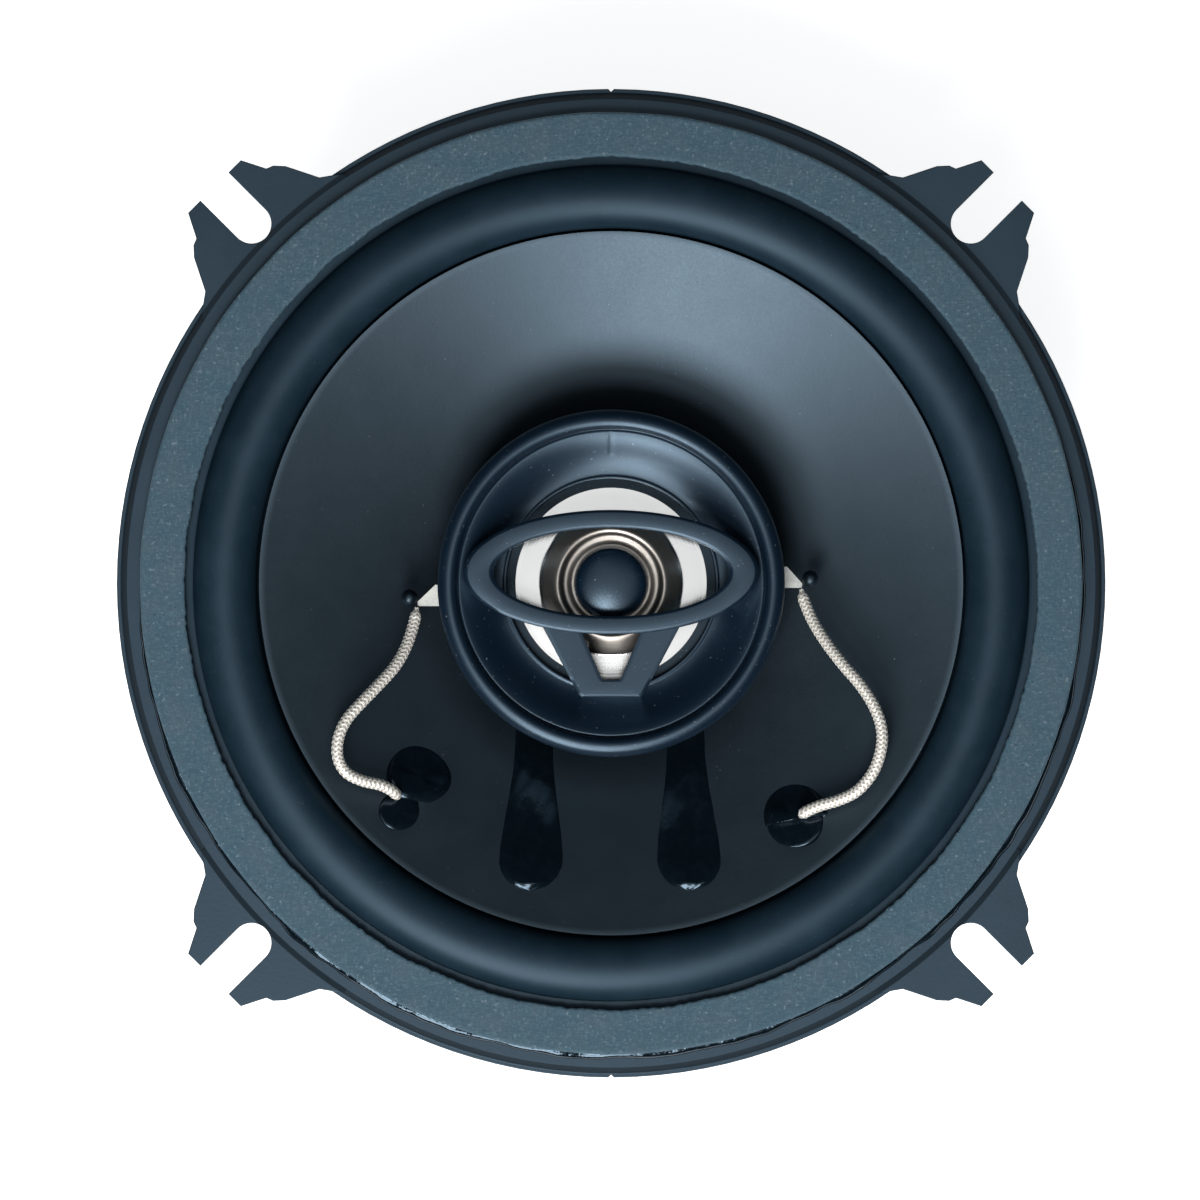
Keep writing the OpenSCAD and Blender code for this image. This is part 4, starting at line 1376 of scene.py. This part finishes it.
    def build(self) -> None:
        """Makes and dresses the moving set."""
        self.cone()
        self.surround()
        self.spider()
        self.glue()
        kraft = Grained("kraft former", (0.36, 0.3, 0.2), (0.5, 0.43, 0.3), 0.4)
        dress_parts(self.nodes, kraft.material(), "coil_former")
        dress_parts(self.nodes, Winding("enamelled copper").material(), "coil_winding")


@dataclass
class Motor:
    """The woofer's magnet system, whose turned parts keep their frame meshes."""

    nodes: dict[str, bpy.types.Object]

    def build(self) -> None:
        """Dresses the motor's pieces."""
        zinc = Plating("zinc plate", gloss=0.32).material()
        dress_parts(self.nodes, zinc, "top_plate", "back_plate", "post_screw")
        dress_parts(self.nodes, Ferrite("sintered ferrite").material(), "magnet")


@dataclass
class Terminals:
    """The terminal board with its blades, rivets and crossover capacitor."""

    nodes: dict[str, bpy.types.Object]

    def build(self) -> None:
        """Dresses the terminal pieces."""
        board = Grained("pressed laminate", (0.05, 0.03, 0.017), (0.11, 0.07, 0.04), 0.25, 0.45)
        sleeve = Grained("capacitor sleeve", (0.018, 0.035, 0.1), (0.03, 0.055, 0.14), 0.6, 0.3, 0.006)
        tin = Plating("tinned brass", (0.72, 0.72, 0.7), (0.5, 0.5, 0.48), 0.25, 0.2)
        dress_parts(self.nodes, board.material(), "terminal_board")
        dress_parts(self.nodes, sleeve.material(), "crossover_capacitor")
        dress_parts(self.nodes, tin.material(), "board_rivets", "positive_terminal", "negative_terminal",
                    "terminal_rivets")


@dataclass
class Pod:
    """The tweeter's moulded pod: cup, bezel, oval guard and its forked strut."""

    nodes: dict[str, bpy.types.Object]
    outer_r: float = 22.8
    skirt_z: float = -2.6
    shelf_z: float = -1.4
    crest_r: float = 21.3
    crest_z: float = 3.95
    rim_drop: float = 1.5
    bead_drop: float = 0.85
    groove_r: float = 20.2
    mouth_r: float = 13.7
    lip_z: float = 0.3
    dish_rise: float = 2.55
    seam_half: float = 0.22
    seam_depth: float = 0.05
    guard_centre: tuple[float, float] = (0.0, 1.45)
    guard_outer: tuple[float, float] = (19.4, 8.15)
    guard_inner: tuple[float, float] = (15.4, 5.8)
    guard_z: float = 5.2
    guard_t: float = 1.8
    strut_below: float = 0.35

    def dish(self, r: np.ndarray) -> np.ndarray:
        """Height of the dished face: half a cosine wave of the share of the way out, to the power 1.15."""
        share = np.clip((r - self.mouth_r) / (self.groove_r + 0.2 - self.mouth_r), 0.0, 1.0)
        return self.lip_z + self.dish_rise * (0.5 - 0.5 * np.cos(np.pi * share**1.15))

    def bezel(self) -> Skin:
        """The ring: skirt, rolled bead, groove, dish and mouth lip as one closed line turned round the axis."""
        rim, bead = self.rim_drop, self.bead_drop
        outer = arc((self.crest_r, self.crest_z - rim), (self.outer_r - self.crest_r, rim), 0.0, 90.0, 18)
        inner = arc((self.crest_r, self.crest_z - bead), (1.0, bead), 92.0, 172.0, 14)
        bed = self.lip_z + self.dish_rise
        groove = np.array([[self.groove_r + 0.1, bed + 0.3], [self.groove_r + 0.06, bed - 0.1],
                           [self.groove_r - 0.04, bed - 0.16], [self.groove_r - 0.12, bed - 0.1]])
        r = np.linspace(self.groove_r - 0.25, self.mouth_r + 0.55, 40)
        dish = np.stack([r, self.dish(r)], -1)
        lip = np.array([[self.mouth_r + 0.42, self.lip_z + 0.1], [self.mouth_r + 0.3, self.lip_z + 0.13],
                        [self.mouth_r + 0.12, self.lip_z + 0.08], [self.mouth_r + 0.02, self.lip_z - 0.1],
                        [self.mouth_r, self.lip_z - 0.4], [self.mouth_r, -0.48]])
        back = np.array([[14.9, -0.5], [15.0, -0.8], [15.0, self.shelf_z + 0.02], [21.55, self.shelf_z + 0.02],
                         [21.6, self.skirt_z], [self.outer_r - 0.15, self.skirt_z],
                         [self.outer_r, self.skirt_z + 0.15]])
        line = np.vstack([outer, inner, groove, dish, lip, back])
        grid = revolved(line, 384)
        angle = np.arctan2(grid[..., 1], grid[..., 0])
        r = np.hypot(grid[..., 0], grid[..., 1])
        seam = np.exp(-(((angle - np.pi / 2) * r / self.seam_half) ** 2))
        face = smoothstep(r, 16.6, 17.2) * (1.0 - smoothstep(r, 19.4, 20.0)) * (grid[..., 2] > 0.0)
        grid[..., 2] -= self.seam_depth * seam * face
        return Skin().add(grid, True, True)

    def guard(self, skin: Skin) -> None:
        """The oval guard: a bevelled bar carried between two ellipses, its ends reaching down into the dish.

        Args:
            skin: Skin that it is added to.
        """
        a = np.linspace(0.0, TAU, 288, endpoint=False)[:, None]
        section = [(0.0, 0.0), (1.0, 0.0), (1.0, 0.93), (0.87, 1.0), (0.13, 1.0), (0.0, 0.93)]
        across = rounded(section, 0.04)
        share, up = across[None, :, 0], across[None, :, 1]
        wide = self.guard_inner[0] + (self.guard_outer[0] - self.guard_inner[0]) * share
        tall = self.guard_inner[1] + (self.guard_outer[1] - self.guard_inner[1]) * share
        x = self.guard_centre[0] + wide * np.cos(a)
        y = self.guard_centre[1] + tall * np.sin(a)
        foot = smoothstep(np.abs(x), 14.4, 16.4)
        low = (self.guard_z - self.guard_t) * (1.0 - foot) + (self.lip_z + 0.1) * foot
        crown = 0.12 * (1.0 - (2.0 * share - 1.0) ** 2)
        z = low + (self.guard_z - 0.1 - low) * up + crown * up
        skin.add(np.stack([x, y, z], -1), True, True)

    def strut(self, skin: Skin) -> None:
        """The forked strut: a bevelled bar carried down one arm, across the foot and up the other.

        Its inner and outer edges are two matching lines, and its flat top lies just below the guard's.

        Args:
            skin: Skin that it is added to.
        """
        inner = np.array([(-4.35, -5.2), (-1.35, -12.3), (-1.0, -12.65)])
        outer = np.array([(-9.25, -5.2), (-4.3, -14.55), (-3.9, -14.9)])
        inner, outer = (np.vstack([arm, arm[::-1] * (-1.0, 1.0)]) for arm in (inner, outer))
        keys = np.array([0.0, 0.42, 0.46, 0.54, 0.58, 1.0])
        u = np.unique(np.concatenate([np.linspace(0.0, 1.0, 90), keys]))
        ins = np.stack([np.interp(u, keys, c) for c in inner.T], -1)[:, None]
        outs = np.stack([np.interp(u, keys, c) for c in outer.T], -1)[:, None]
        section = [(0.0, 0.0), (1.0, 0.0), (1.0, 0.965), (0.88, 1.0), (0.12, 1.0), (0.0, 0.965)]
        across = rounded(section, 0.015)
        share, up = across[None, :, 0:1], across[None, :, 1:2]
        flat = ins + (outs - ins) * share
        reach = np.hypot(flat[..., 0:1], flat[..., 1:2])
        top = np.full_like(reach, self.guard_z - self.strut_below)
        hung = np.maximum(top - 1.7, self.lip_z - 0.1)
        low = np.minimum(np.where(reach > self.mouth_r, self.dish(reach) - 0.25, hung), top - 0.5)
        z = low + (top - low) * up
        skin.add_tube(np.concatenate([flat, z], -1))

    def build(self) -> None:
        """Makes and dresses the pod."""
        finish = Plastic("moulded plastic").material()
        skin = self.bezel()
        self.guard(skin)
        self.strut(skin)
        stand_in(skin.build("bezel_and_guard", 38.0), "tweeter_bezel", finish, "frame")
        dress_parts(self.nodes, finish, "tweeter_cup", "tweeter_post")


@dataclass
class Tweeter:
    """The tweeter inside the pod: film, cap, clamp ring, small motor, solder tabs and their glue."""

    nodes: dict[str, bpy.types.Object]
    film: float = 0.3
    film_flex: tuple[float, float] = (7.4, 12.4)
    film_line: Route = (
        (14.0, -1.25), (13.4, -1.25), (13.1, -1.2), (12.95, -0.98), (12.75, -0.88), (12.0, -0.84), (11.0, -0.78),
        (10.0, -0.73), (9.5, -0.7), (9.2, -0.6), (8.3, -0.14), (7.5, 0.28), (7.15, 0.42), (6.95, 0.42),
        (6.75, 0.3), (6.5, 0.05), (6.2, -0.1), (5.8, -0.16), (5.3, -0.36), (5.0, -0.4), (3.6, -0.4))
    cap_r: float = 4.9
    cap_low: float = -0.2
    cap_high: float = 3.0
    tab_places: Route = ((-26.6, -1.9, 0.0), (26.3, 0.6, 0.0))

    def diaphragm(self) -> None:
        """The pressed film: clamped edge, flat outer band, ridge and inner steps in one line."""
        outline = sheet_outline(smooth_line(self.film_line, 220), self.film)
        piece = Skin().add_turned(outline, 256).build("film_diaphragm", 60.0)
        stand_in(piece, "tweeter_diaphragm", Film("metallised film").material())
        follow_ring(piece, *self.film_flex, "tweeter_moving")

    def cap(self) -> None:
        """The centre cap: a dome that falls with the square of the radius, and near its edge the 16th power."""
        t = np.linspace(0.0, 1.0, 40)
        r = self.cap_r * np.sin(t * np.pi / 2)
        share = r / self.cap_r
        z = self.cap_high - 0.72 * share**2 - 1.1 * share**16
        line = np.vstack([np.stack([r, z], -1), [[self.cap_r - 0.03, self.cap_low], [0.0, self.cap_low]]])
        piece = Skin().add(revolved(line, 128), True, False).build("centre_cap", 60.0)
        finish = Plastic("cap plastic", gloss=0.2, texture=0.0012).material()
        stand_in(piece, "tweeter_cap", finish, "tweeter_moving")

    def glue(self) -> None:
        """A small glossy dome beside each solder tab: a turned line moved to its place."""
        line = smooth_line([(0.0, -1.3), (0.5, -1.4), (0.9, -1.8), (1.1, -2.4), (0.9, -2.75), (0.0, -2.75)], 26)
        skin = Skin()
        for place in self.tab_places:
            skin.add(revolved(line, 48) + np.array(place), True, False)
        finish = Glue("tab adhesive", gloss=0.36).material()
        stand_in(skin.build("tab_glue", 60.0), "tab_beads", finish, "frame")

    def build(self) -> None:
        """Makes and dresses the tweeter."""
        self.diaphragm()
        self.cap()
        self.glue()
        tin = Plating("tinned tab", (0.5, 0.5, 0.47), (0.3, 0.32, 0.31), 0.3, 0.3)
        clamp = Plastic("clamp ring plastic", (0.001, 0.003, 0.005), (0.002, 0.004, 0.007), 0.6)
        nickel = Grained("nickelled magnet", (0.5, 0.5, 0.5), (0.62, 0.62, 0.6), 0.5, 0.25, 0.005, 1.0)
        for finish, *names in (
                (tin, "tweeter_tab_left", "tweeter_tab_right"),
                (Plating("yoke steel", gloss=0.34), "tweeter_yoke", "tweeter_pole_plate"),
                (clamp, "tweeter_clamp_ring"),
                (nickel, "tweeter_magnet"),
                (Winding("tweeter wire", 0.12), "tweeter_coil")):
            dress_parts(self.nodes, finish.material(), *names)


def corners() -> list[list[float]]:
    """The shown object's lowest and highest corners as plain lists."""
    return [list(corner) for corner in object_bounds()]


def main() -> None:
    """Builds the stage, the leads and then each sub-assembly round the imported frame."""
    logging.basicConfig(level=logging.INFO, format="%(name)s: %(message)s")
    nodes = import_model()["nodes"]
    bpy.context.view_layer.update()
    Studio().build()
    Leads().build()
    for part in (Basket(nodes), ConeSet(nodes), Motor(nodes), Terminals(nodes), Pod(nodes), Tweeter(nodes)):
        part.build()


if __name__ == "__main__":
    main()
